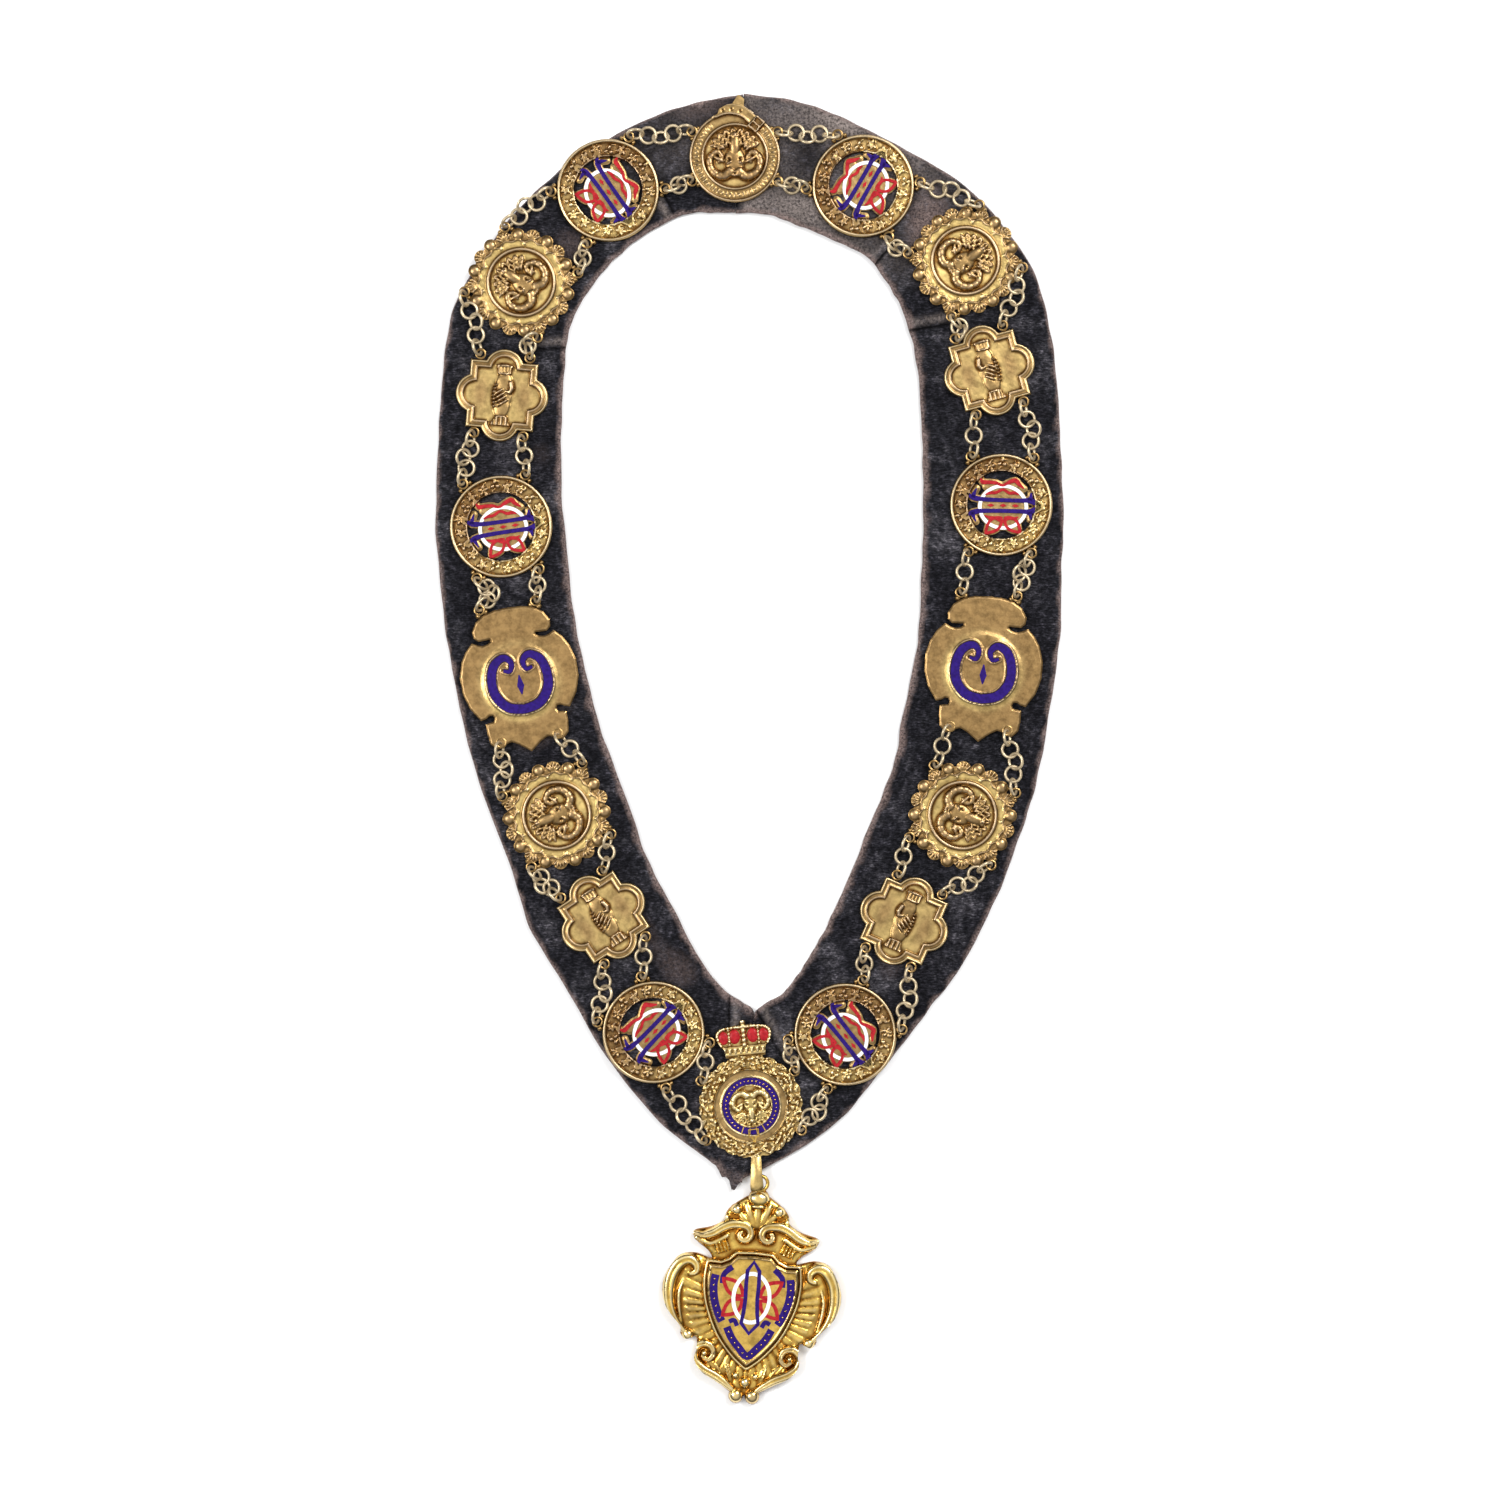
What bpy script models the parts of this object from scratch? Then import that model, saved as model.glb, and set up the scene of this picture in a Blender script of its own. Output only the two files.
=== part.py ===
"""Chain of office: a velvet collar with cast plates, eyelets, link chains and a scrollwork pendant.

Metres, +Z up. The collar lies flat as on a table, the neck opening in the middle,
the top seam at +Y and the pendant at -Y. The origin is on the table under the middle.
"""
import math

import bmesh
import bpy
from mathutils import Matrix, Vector

# Velvet collar
COLLAR_WIDTH = 0.276
COLLAR_LENGTH = 0.476
PENDANT_DROP = 0.1
BAND_WIDTH = 0.0575
VELVET_THICK = 0.003
VELVET_EDGE = 0.0012
SEAM_GAP = 0.0003
PANEL_STATIONS = 24

# Cast plates
PLATE_GAP = 0.0003
PLATE_THICK = 0.0024
RELIEF_STEP = 0.0006
KNOT_RADIUS = 0.0226
KNOT_WINDOW = 0.01475
KNOT_RIM = 0.0012
SCALLOP_RADIUS = 0.0238
SCALLOP_RING = 0.0146
QUATREFOIL_LOBE = 0.0088
QUATREFOIL_OFFSET = 0.0115
QUATREFOIL_HALF_SIDE = 0.0149
QUATREFOIL_BORDER = 0.0034
CARTOUCHE_LENGTH = 0.0635
CARTOUCHE_DOME = 0.0125
TOP_RADIUS = 0.02
TOP_RECESS = 0.0137
STRAP_WIDTH = 0.0062
STRAP_TIP = 0.0272
CENTRE_RADIUS = 0.0229
CENTRE_RING = 0.0163
CENTRE_FIELD = 0.0128
CROWN_WIDTH = 0.0245
CROWN_HEIGHT = 0.0135

# Eyelets
LUG_RADIUS = 0.0025
LUG_HOLE = 0.00165
LUG_THICK = 0.0006
LUG_REACH = 0.0022
LUG_DROP = 0.0001

# Links
LINK_RADIUS = 0.00345
LINK_WIRE = 0.0006
LINK_TILT = math.radians(65)
LINK_BITE = 0.00065
LINK_LIFT = 0.0002
LINK_SLACK_PITCH = 0.003
LINK_SIDES = 10
WIRE_SIDES = 5
OUTER_LINKS = 5
INNER_LINKS = 3
REAL_CHAIN_PAIRS = 4
CHAIN_TUBE_RADIUS = 0.0015

# Bail and pendant
BAIL_WIDTH = 0.0059
BAIL_TOP_WIDTH = 0.0048
BAIL_THICK = 0.0008
BAIL_LENGTH = 0.0142
BAIL_HOOK_WIDTH = 0.0018
RING_RADIUS = 0.0033
RING_WIRE = 0.0008
RING_HEIGHT = 0.0052
PENDANT_ACROSS = 0.0009
PENDANT_TURN = -4.4
PENDANT_WIDTH = 0.0788
PENDANT_HEIGHT = 0.094
FRAME_THICK = 0.0042
SCROLL_RADIUS = 0.0013
SCROLL_STEPS = 6
FINIAL_RADIUS = 0.0047
KNOB_RADIUS = 0.0032
SHIELD_GAP = 0.0003
SHIELD_THICK = 0.0022

PLATE_BASE = VELVET_THICK + PLATE_GAP
PLATE_TOP = PLATE_BASE + PLATE_THICK
LUG_TOP = PLATE_TOP - LUG_DROP
LUG_MIDDLE = LUG_TOP - LUG_THICK / 2
COLLAR_TOP = (COLLAR_LENGTH + PENDANT_DROP) / 2

# Panel sections from the top seam to the bottom V.
# Columns: middle across (half collar widths), drop (collar lengths),
# width (band widths), bearing of the outer edge from the inner edge (degrees).
LEFT_SECTIONS = (
    (-0.032, 0.055, 0.91, 86),
    (-0.128, 0.058, 0.86, 94),
    (-0.224, 0.063, 0.80, 102),
    (-0.331, 0.076, 0.78, 113),
    (-0.466, 0.100, 0.78, 121),
    (-0.573, 0.127, 0.80, 133),
    (-0.657, 0.156, 0.82, 147),
    (-0.733, 0.192, 0.86, 160),
    (-0.770, 0.225, 0.92, 170),
    (-0.792, 0.298, 0.93, 180),
    (-0.797, 0.380, 0.97, 181),
    (-0.785, 0.428, 0.99, 183),
    (-0.758, 0.497, 0.99, 186),
    (-0.691, 0.587, 1.01, 190),
    (-0.630, 0.641, 1.02, 199),
    (-0.566, 0.690, 1.01, 204),
    (-0.509, 0.740, 1.04, 208),
    (-0.405, 0.793, 1.02, 216),
    (-0.322, 0.837, 1.02, 221),
    (-0.230, 0.873, 1.05, 230),
    (-0.135, 0.899, 1.14, 242),
    (-0.002, 0.925, 1.27, 266),
)
RIGHT_SECTIONS = (
    (-0.032, 0.055, 0.91, 86),
    (0.103, 0.059, 0.90, 77),
    (0.236, 0.073, 0.89, 66),
    (0.382, 0.093, 0.87, 56),
    (0.508, 0.113, 0.89, 45),
    (0.584, 0.134, 0.96, 34),
    (0.647, 0.158, 1.00, 24),
    (0.706, 0.189, 1.06, 13),
    (0.757, 0.257, 1.05, 3),
    (0.777, 0.380, 1.07, 0),
    (0.771, 0.442, 1.07, 0),
    (0.762, 0.506, 1.08, -2),
    (0.710, 0.593, 1.10, -9),
    (0.677, 0.638, 1.09, -14),
    (0.588, 0.707, 1.11, -20),
    (0.530, 0.746, 1.09, -24),
    (0.474, 0.778, 1.06, -30),
    (0.399, 0.812, 0.99, -36),
    (0.347, 0.834, 0.98, -43),
    (0.267, 0.865, 1.00, -56),
    (0.180, 0.893, 1.08, -68),
    (-0.002, 0.925, 1.27, -94),
)

# Folds that raise the velvet. Columns: place among the sections (0 to 1), place across
# (-1 outer edge to 1 inner edge), half length along, half width across, height (thicknesses).
LEFT_FOLDS = (
    (0.12, 1.00, 0.03, 0.20, 0.30),
    (0.40, 1.00, 0.03, 0.25, 0.40),
)
RIGHT_FOLDS = (
    (0.21, 1.00, 0.03, 0.20, 0.40),
    (0.36, 1.00, 0.03, 0.25, 0.35),
)

# Plates from the top down. Columns: name, form, middle across (half collar widths),
# drop (collar lengths), turn of the plate's upward axis from +Y (degrees).
TOP_PLATE = ("top_medallion", "top", -0.046, 0.059, 0)
CENTRE_PLATE = ("centre_medallion", "centre", 0.005, 0.934, 6)
LEFT_PLATES = (
    ("knot_disc_1L", "knot", -0.449, 0.090, -55),
    ("scallop_1L", "scallop", -0.725, 0.175, -32),
    ("quatrefoil_1L", "quatrefoil", -0.786, 0.279, -5),
    ("knot_disc_2L", "knot", -0.789, 0.400, 8.5),
    ("cartouche_L", "cartouche", -0.730, 0.540, 9.5),
    ("scallop_2L", "scallop", -0.612, 0.666, 22.4),
    ("quatrefoil_2L", "quatrefoil", -0.464, 0.760, 33.5),
    ("knot_disc_3L", "knot", -0.304, 0.866, 46),
)
RIGHT_PLATES = (
    ("knot_disc_1R", "knot", 0.362, 0.086, 60),
    ("scallop_1R", "scallop", 0.687, 0.155, 34.5),
    ("quatrefoil_1R", "quatrefoil", 0.763, 0.256, 15.4),
    ("knot_disc_2R", "knot", 0.801, 0.380, -1.5),
    ("cartouche_R", "cartouche", 0.744, 0.5305, -4.2),
    ("scallop_2R", "scallop", 0.678, 0.666, -18.8),
    ("quatrefoil_2R", "quatrefoil", 0.492, 0.7635, -23.4),
    ("knot_disc_3R", "knot", 0.305, 0.868, -51.5),
)

# Eyelets of each form: angle of the upper and of the lower pair from the plate's axis
# (degrees), and how far the hole lies outside the outline (lug reaches).
LUG_SETTING = {
    "top": (60, 60, 0.75),
    "knot": (33.5, 33.5, 1.1),
    "scallop": (48.5, 48.5, 0.8),
    "quatrefoil": (32, 32, 1.3),
    "cartouche": (21.0, 25.4, 1.0),
    "centre": (57.2, 58.5, 1.0),
}

# Outline of the right half of a cartouche. Columns: angle from its upward axis (degrees),
# radius (shares of its length).
CARTOUCHE_OUTLINE = (
    (0, 0.500), (15, 0.510), (27, 0.515), (33, 0.505), (38, 0.390), (50, 0.385),
    (67, 0.410), (90, 0.420), (111, 0.415), (127, 0.370), (135, 0.345), (146, 0.420),
    (156, 0.430), (168, 0.440), (180, 0.500),
)

# Outline of the right half of the pendant frame, from the finial down.
# Columns: across (half widths), up (half heights).
FRAME_OUTLINE = (
    (0.127, 0.943), (0.266, 0.862), (0.345, 0.787), (0.371, 0.702), (0.508, 0.634),
    (0.698, 0.585), (0.660, 0.494), (0.520, 0.409), (0.482, 0.340), (0.660, 0.379),
    (0.799, 0.362), (0.888, 0.294), (0.977, 0.149), (1.000, 0.021), (0.952, -0.117),
    (0.888, -0.196), (0.761, -0.315), (0.761, -0.379), (0.706, -0.426), (0.584, -0.404),
    (0.566, -0.511), (0.584, -0.606), (0.492, -0.717), (0.322, -0.800), (0.203, -0.872),
    (0.090, -0.920),
)

# Scrolls on the right half of the frame. Columns: tail points (half widths, half heights),
# curl centre, radii where the curl starts and ends (half widths), its start angle and sweep.
FRAME_SCROLLS = (
    (((0.690, 0.570), (0.520, 0.612), (0.330, 0.670)), (0.160, 0.585), (0.118, 0.060), 80, 230),
    (((0.740, -0.350), (0.890, -0.170), (0.945, 0.040), (0.880, 0.250)), (0.700, 0.240),
     (0.105, 0.055), 60, 230),
    (((0.170, -0.810), (0.330, -0.750)), (0.455, -0.550), (0.125, 0.060), -90, 250),
)

# Outline of the right half of the shield, from the top middle down (half widths, half heights).
SHIELD_OUTLINE = (
    (0.000, 0.398), (0.190, 0.390), (0.260, 0.330), (0.360, 0.292), (0.495, 0.297),
    (0.510, 0.130), (0.470, -0.080), (0.335, -0.340), (0.155, -0.530), (0.000, -0.640),
)


def clear_scene():
    for item in list(bpy.data.objects):
        bpy.data.objects.remove(item, do_unlink=True)


def make_material(name, colour, roughness, metallic):
    material = bpy.data.materials.new(name)
    material.use_nodes = True
    shader = material.node_tree.nodes["Principled BSDF"]
    shader.inputs["Base Color"].default_value = (*colour, 1)
    shader.inputs["Roughness"].default_value = roughness
    shader.inputs["Metallic"].default_value = metallic
    return material


def mesh_from(vertices, faces):
    """A mesh of these faces, with its normals pointing out."""
    mesh = bpy.data.meshes.new("shape")
    mesh.from_pydata([tuple(v) for v in vertices], [], faces)
    shape = bmesh.new()
    shape.from_mesh(mesh)
    bmesh.ops.recalc_face_normals(shape, faces=shape.faces)
    shape.to_mesh(mesh)
    shape.free()
    return mesh


def place(name, mesh, material, matrix=Matrix()):
    item = bpy.data.objects.new(name, mesh)
    item.matrix_world = matrix
    mesh.materials.clear()
    mesh.materials.append(material)
    mesh.shade_smooth()
    mesh.set_sharp_from_angle(angle=math.radians(35))
    bpy.context.scene.collection.objects.link(item)
    return item


def joined(meshes):
    """One mesh that holds all the given shapes side by side."""
    shape = bmesh.new()
    for mesh in meshes:
        shape.from_mesh(mesh)
    result = bpy.data.meshes.new("joined")
    shape.to_mesh(result)
    shape.free()
    return result


def combine(mesh, tool, operation):
    """The mesh after a Boolean with the tool: UNION or DIFFERENCE."""
    base = bpy.data.objects.new("base", mesh)
    helper = bpy.data.objects.new("helper", tool)
    for item in (base, helper):
        bpy.context.scene.collection.objects.link(item)
    helper.hide_render = True
    helper.display_type = "WIRE"
    modifier = base.modifiers.new("combine", "BOOLEAN")
    modifier.operation = operation
    modifier.solver = "EXACT"
    modifier.object = helper
    graph = bpy.context.evaluated_depsgraph_get()
    result = bpy.data.meshes.new_from_object(base.evaluated_get(graph))
    for item in (base, helper):
        bpy.data.objects.remove(item, do_unlink=True)
    return result


def loop_solid(loops, ring=False):
    """A solid through loops of equal count: capped at both ends, or closed round as a ring."""
    count = len(loops[0])
    vertices = [point for loop in loops for point in loop]
    spans = len(loops) if ring else len(loops) - 1
    faces = []
    for row in range(spans):
        below = row * count
        above = (row + 1) % len(loops) * count
        for i in range(count):
            j = (i + 1) % count
            faces.append((below + i, below + j, above + j, above + i))
    if not ring:
        faces.append(tuple(range(count)))
        faces.append(tuple((len(loops) - 1) * count + i for i in range(count)))
    return mesh_from(vertices, faces)


def circle_loop(outline, height, count):
    """Points at a radius given by a number or by a function of the angle."""
    points = []
    for i in range(count):
        angle = math.tau * i / count
        radius = outline(angle) if callable(outline) else outline
        points.append(Vector((radius * math.cos(angle), radius * math.sin(angle), height)))
    return points


def stack(rows, count, ring=False):
    """A solid from rows of (outline or radius, height)."""
    return loop_solid([circle_loop(outline, height, count) for outline, height in rows], ring)


def prism(points, low, high):
    return loop_solid([[Vector((x, y, z)) for x, y in points] for z in (low, high)])


def tube(points, radius, sides):
    """A round bar along flat points that share one height."""
    loops = []
    for i, point in enumerate(points):
        ahead = points[min(i + 1, len(points) - 1)] - points[max(i - 1, 0)]
        side = Vector((-ahead.y, ahead.x, 0)).normalized()
        loop = []
        for k in range(sides):
            angle = math.tau * k / sides
            loop.append(point + radius * (side * math.cos(angle) + Vector((0, 0, math.sin(angle)))))
        loops.append(loop)
    return loop_solid(loops)


def dome(centre, radius, height, low, count=10):
    """A round boss: a bead cut off flat at its foot."""
    rows = []
    for turn in (0, 40, 75):
        angle = math.radians(turn)
        rows.append((radius * math.cos(angle), low + height * math.sin(angle)))
    loops = [[p + centre for p in circle_loop(size, rise, count)] for size, rise in rows]
    return loop_solid(loops)


def smooth_step(rows, place_along):
    """The row at a place from 0 to 1, on a smooth curve through all rows."""
    span = place_along * (len(rows) - 1)
    start = min(int(span), len(rows) - 2)
    t = span - start
    around = [rows[min(max(start + k, 0), len(rows) - 1)] for k in (-1, 0, 1, 2)]
    values = []
    for a, b, c, d in zip(*around):
        slope = (c - a) * t
        curve = (2 * a - 5 * b + 4 * c - d) * t * t
        cube = (3 * b - a - 3 * c + d) * t ** 3
        values.append(b + (slope + curve + cube) / 2)
    return values


def collar_point(across, drop):
    return Vector((across * COLLAR_WIDTH / 2, COLLAR_TOP - drop * COLLAR_LENGTH, 0))


def fold_height(folds, along, across):
    height = 0
    for at, side, length, width, rise in folds:
        reach = math.hypot((along - at) / length, (across - side) / width)
        if reach < 1:
            height = max(height, rise * VELVET_THICK * (1 + math.cos(math.pi * reach)) / 2)
    return height


def velvet_panel(sections, folds):
    """A velvet half collar, lofted through its sections, with rounded long edges."""
    flat = 1 - 2 * VELVET_EDGE / BAND_WIDTH
    profile = [(-flat, 0.0), (-1.0, 0.35), (-1.0, 0.65), (-flat, 1.0), (-0.6, 1.0), (0.0, 1.0),
               (0.6, 1.0), (flat, 1.0), (1.0, 0.65), (1.0, 0.35), (flat, 0.0)]
    loops = []
    for i in range(PANEL_STATIONS):
        along = i / (PANEL_STATIONS - 1)
        across, drop, width, bearing = smooth_step(sections, along)
        middle = collar_point(across, drop)
        outward = Vector((math.cos(math.radians(bearing)), math.sin(math.radians(bearing)), 0))
        forward = Vector((-outward.y, outward.x, 0)) * (1 if sections is LEFT_SECTIONS else -1)
        ends = SEAM_GAP / 2 * ((i == 0) - (i == PANEL_STATIONS - 1))
        loop = []
        for side, level in profile:
            point = middle - outward * side * width * BAND_WIDTH / 2 + forward * ends
            rise = fold_height(folds, along, side) * (level >= 0.65)
            loop.append(point + Vector((0, 0, level * VELVET_THICK + rise)))
        loops.append(loop)
    return loop_solid(loops)


def knot_outline(angle):
    return KNOT_RADIUS


def scallop_outline(angle):
    return SCALLOP_RADIUS * (0.965 + 0.035 * abs(math.cos(10 * angle)))


def quatrefoil_outline(angle):
    quarter = (angle + math.pi / 4) % (math.pi / 2) - math.pi / 4
    square = QUATREFOIL_HALF_SIDE / math.cos(quarter)
    chord = QUATREFOIL_LOBE ** 2 - (QUATREFOIL_OFFSET * math.sin(quarter)) ** 2
    lobe = QUATREFOIL_OFFSET * math.cos(quarter) + math.sqrt(max(chord, 0))
    return max(square, lobe)


def cartouche_outline(angle):
    from_top = abs((math.degrees(angle) - 90 + 180) % 360 - 180)
    for (a, low), (b, high) in zip(CARTOUCHE_OUTLINE, CARTOUCHE_OUTLINE[1:]):
        if a <= from_top <= b:
            return CARTOUCHE_LENGTH * (low + (high - low) * (from_top - a) / (b - a))
    return CARTOUCHE_LENGTH * CARTOUCHE_OUTLINE[-1][1]


def top_outline(angle):
    return TOP_RADIUS


def centre_outline(angle):
    return CENTRE_RADIUS * (0.97 + 0.03 * abs(math.cos(8 * angle)))


OUTLINES = {
    "knot": knot_outline,
    "scallop": scallop_outline,
    "quatrefoil": quatrefoil_outline,
    "cartouche": cartouche_outline,
    "top": top_outline,
    "centre": centre_outline,
}


def shrunk(outline, inset):
    return lambda angle: outline(angle) - inset


def knot_body():
    """A pierced disc with a raised rim, and the crossed device in its window."""
    band = PLATE_TOP - RELIEF_STEP
    disc = stack([
        (KNOT_WINDOW, PLATE_BASE),
        (KNOT_RADIUS, PLATE_BASE),
        (KNOT_RADIUS, PLATE_TOP),
        (KNOT_RADIUS - KNOT_RIM, PLATE_TOP),
        (KNOT_WINDOW, band),
    ], 20, ring=True)

    def device_outline(angle):
        return KNOT_WINDOW * (0.58 + 0.46 * abs(math.cos(2 * angle)) ** 0.8)

    device = stack([
        (device_outline, PLATE_BASE + RELIEF_STEP / 2),
        (device_outline, band - RELIEF_STEP / 2),
    ], 16)
    return combine(disc, device, "UNION")


def scallop_body():
    """A disc with a lobed border of beads and shells, and a cast head in its round recess."""
    ring = SCALLOP_RING
    plate = stack([
        (scallop_outline, PLATE_BASE),
        (scallop_outline, PLATE_TOP - RELIEF_STEP),
        (shrunk(scallop_outline, 2 * RELIEF_STEP), PLATE_TOP),
    ], 40)
    recess = stack([
        (ring - 2 * RELIEF_STEP, PLATE_TOP - 2 * RELIEF_STEP),
        (ring, PLATE_TOP + RELIEF_STEP),
    ], 20)
    head = dome(Vector(), ring / 2, 2 * RELIEF_STEP, PLATE_TOP - 3 * RELIEF_STEP)
    return combine(combine(plate, recess, "DIFFERENCE"), head, "UNION")


def quatrefoil_body():
    """A four-lobed plate with a stepped border and the clasped hands along its axis."""
    border = QUATREFOIL_BORDER
    plate = stack([
        (quatrefoil_outline, PLATE_BASE),
        (quatrefoil_outline, PLATE_TOP),
        (shrunk(quatrefoil_outline, border), PLATE_TOP),
        (shrunk(quatrefoil_outline, border + RELIEF_STEP), PLATE_TOP - 2 * RELIEF_STEP),
    ], 24)
    reach = QUATREFOIL_OFFSET + QUATREFOIL_LOBE - border
    width = QUATREFOIL_LOBE / 2
    hands = [(-width, -reach), (width, -reach), (1.15 * width, 0), (width, reach),
             (-width, reach), (-1.15 * width, 0)]
    return combine(plate, prism(hands, PLATE_BASE + RELIEF_STEP, PLATE_TOP), "UNION")


def cartouche_body():
    """A plain shield-shaped plate with a low dome in its middle."""
    return stack([
        (cartouche_outline, PLATE_BASE),
        (cartouche_outline, PLATE_TOP),
        (CARTOUCHE_DOME, PLATE_TOP),
        (CARTOUCHE_DOME / 2, PLATE_TOP + RELIEF_STEP),
    ], 40)


def top_body():
    """A round medallion with a raised strap border, the strap's free end and a cast head."""
    disc = stack([
        (top_outline, PLATE_BASE),
        (top_outline, PLATE_TOP),
        (TOP_RECESS + RELIEF_STEP, PLATE_TOP),
        (TOP_RECESS, PLATE_TOP - 2 * RELIEF_STEP),
        (TOP_RECESS / 2, PLATE_TOP),
    ], 28)
    half = STRAP_WIDTH / 2
    start = TOP_RECESS + RELIEF_STEP
    end = STRAP_TIP - half
    strap = prism([(-half, start), (half, start), (half, end), (0, STRAP_TIP), (-half, end)],
                  PLATE_BASE + RELIEF_STEP, PLATE_TOP + RELIEF_STEP)
    return combine(disc, strap, "UNION")


def crown_shape():
    """The crown over the wreath: a band, four peaks and a raised middle."""
    base = CENTRE_RADIUS - RELIEF_STEP
    half = CROWN_WIDTH / 2
    rise = CROWN_HEIGHT
    right = [(0.72 * half, 0), (0.78 * half, 0.3 * rise), (half, 0.55 * rise),
             (0.86 * half, 0.85 * rise), (0.5 * half, 0.8 * rise), (0.25 * half, 0.92 * rise)]
    outline = [(x, base + y) for x, y in right]
    outline.append((0, base + rise + 2 * RELIEF_STEP))
    outline.extend((-x, base + y) for x, y in reversed(right))
    return prism(outline, PLATE_BASE + RELIEF_STEP, PLATE_TOP + RELIEF_STEP)


def bail_shape():
    """The strap that runs down from the medallion, with the hook that holds the pendant's ring."""
    under = RING_HEIGHT + RING_WIRE + PLATE_GAP
    over = under + BAIL_THICK
    start = -CENTRE_RADIUS + RELIEF_STEP
    bend = start - BAIL_LENGTH / 3
    end = -CENTRE_RADIUS - BAIL_LENGTH
    rows = ((start, BAIL_TOP_WIDTH, PLATE_TOP - BAIL_THICK), (bend, BAIL_TOP_WIDTH, under),
            (end, BAIL_WIDTH, under))
    loops = []
    for y, width, low in rows:
        loops.append([Vector((side * width / 2, y, low + rise)) for side, rise in
                      ((-1, 0), (1, 0), (1, BAIL_THICK), (-1, BAIL_THICK))])
    strap = loop_solid(loops)
    low = RING_HEIGHT - RING_WIRE - PLATE_GAP
    outer = ((bend + BAIL_THICK, over - BAIL_THICK / 2), (end + 2 * BAIL_THICK, over - BAIL_THICK / 2),
             (end + 2 * BAIL_THICK, low - BAIL_THICK), (bend + BAIL_THICK, low - BAIL_THICK))
    inner = ((bend, under - BAIL_THICK / 8), (end + 3 * BAIL_THICK, under - BAIL_THICK / 8),
             (end + 3 * BAIL_THICK, low), (bend, low))
    half = BAIL_HOOK_WIDTH / 2
    rows = [[Vector((x, y, z)) for y, z in path] for path, x in
            ((outer, -half), (outer, half), (inner, half), (inner, -half))]
    hook = loop_solid(rows, ring=True)
    return combine(strap, hook, "UNION")


def centre_body():
    """The wreathed medallion with its crown and the bail, soldered together."""
    disc = stack([
        (shrunk(centre_outline, RELIEF_STEP), PLATE_BASE),
        (centre_outline, PLATE_BASE + PLATE_THICK / 2),
        (shrunk(centre_outline, 3 * RELIEF_STEP), PLATE_TOP + RELIEF_STEP),
        (CENTRE_RING, PLATE_TOP),
        (CENTRE_FIELD, PLATE_TOP),
        (CENTRE_FIELD - RELIEF_STEP, PLATE_TOP - RELIEF_STEP),
        (CENTRE_FIELD / 2, PLATE_TOP + RELIEF_STEP),
    ], 32)
    with_crown = combine(disc, crown_shape(), "UNION")
    return combine(with_crown, bail_shape(), "UNION")


BODIES = {
    "knot": knot_body,
    "scallop": scallop_body,
    "quatrefoil": quatrefoil_body,
    "cartouche": cartouche_body,
    "top": top_body,
    "centre": centre_body,
}


def lug_places(form):
    """Hole centres of a plate's eyelets, keyed by level and side."""
    upper, lower, reach = LUG_SETTING[form]
    places = {}
    for level, turn in (("upper", upper), ("lower", 180 - lower)):
        for side in (-1, 1):
            angle = math.radians(90 - side * turn)
            radius = OUTLINES[form](angle) + reach * LUG_REACH
            places[level, side] = Vector((radius * math.cos(angle), radius * math.sin(angle), 0))
    return places


def lug_shape(centre):
    """A round-ended tab that reaches back into the plate."""
    outward = centre.normalized()
    across = Vector((-outward.y, outward.x, 0))
    points = []
    for turn in (-90, -35, 35, 90):
        angle = math.radians(turn)
        points.append(centre + LUG_RADIUS * (outward * math.cos(angle) + across * math.sin(angle)))
    for side in (1, -1):
        points.append(centre - 1.6 * LUG_REACH * outward + side * LUG_RADIUS * across)
    return prism([(p.x, p.y) for p in points], LUG_TOP - LUG_THICK, LUG_TOP)


def drill(centre):
    points = [centre + p for p in circle_loop(LUG_HOLE, 0, 6)]
    return prism([(p.x, p.y) for p in points], 0, 2 * PLATE_TOP)


def plate_mesh(form):
    """A plate's body with its four drilled eyelets."""
    places = list(lug_places(form).values())
    body = combine(BODIES[form](), joined([lug_shape(p) for p in places]), "UNION")
    return combine(body, joined([drill(p) for p in places]), "DIFFERENCE")


def plate_matrix(row):
    _, _, across, drop, turn = row
    return Matrix.Translation(collar_point(across, drop)) @ Matrix.Rotation(math.radians(turn), 4, "Z")


def chain_route(start, end, links, side):
    """Points along a chain between two holes: straight, or bowed to one side if it is slack."""
    chord = end - start
    end_reach = first_link_reach()
    wanted = 2 * end_reach + (links - 1) * LINK_SLACK_PITCH
    spare = max(wanted - chord.length, 0)
    bow = math.sqrt(3 * chord.length * spare / 8)
    across = Vector((-chord.y, chord.x, 0)).normalized() * side
    points = []
    for i in range(41):
        t = i / 40
        points.append(start + chord * t + across * 4 * bow * t * (1 - t))
    return points


def walk(points, distance):
    """The place and direction at a distance along a route."""
    for a, b in zip(points, points[1:]):
        step = (b - a).length
        if distance <= step:
            break
        distance -= step
    ahead = (b - a).normalized()
    return a + ahead * distance, ahead


def steep_link_height():
    return VELVET_THICK + LINK_LIFT + LINK_WIRE + LINK_RADIUS * math.sin(LINK_TILT)


def lug_level_in_link():
    """How far below a steep link's middle it crosses an eyelet, in the link's own plane."""
    return (steep_link_height() - LUG_MIDDLE) / math.sin(LINK_TILT)


def first_link_reach():
    return math.sqrt(LINK_RADIUS ** 2 - lug_level_in_link() ** 2)


def flat_link_height(pitch):
    """The height of a flat link that rests in its steep neighbours."""
    touch = LINK_RADIUS - 2 * LINK_WIRE + LINK_BITE
    below = math.sqrt(max(touch ** 2 - (pitch - LINK_RADIUS) ** 2, 0))
    return steep_link_height() - below * math.sin(LINK_TILT)


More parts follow.
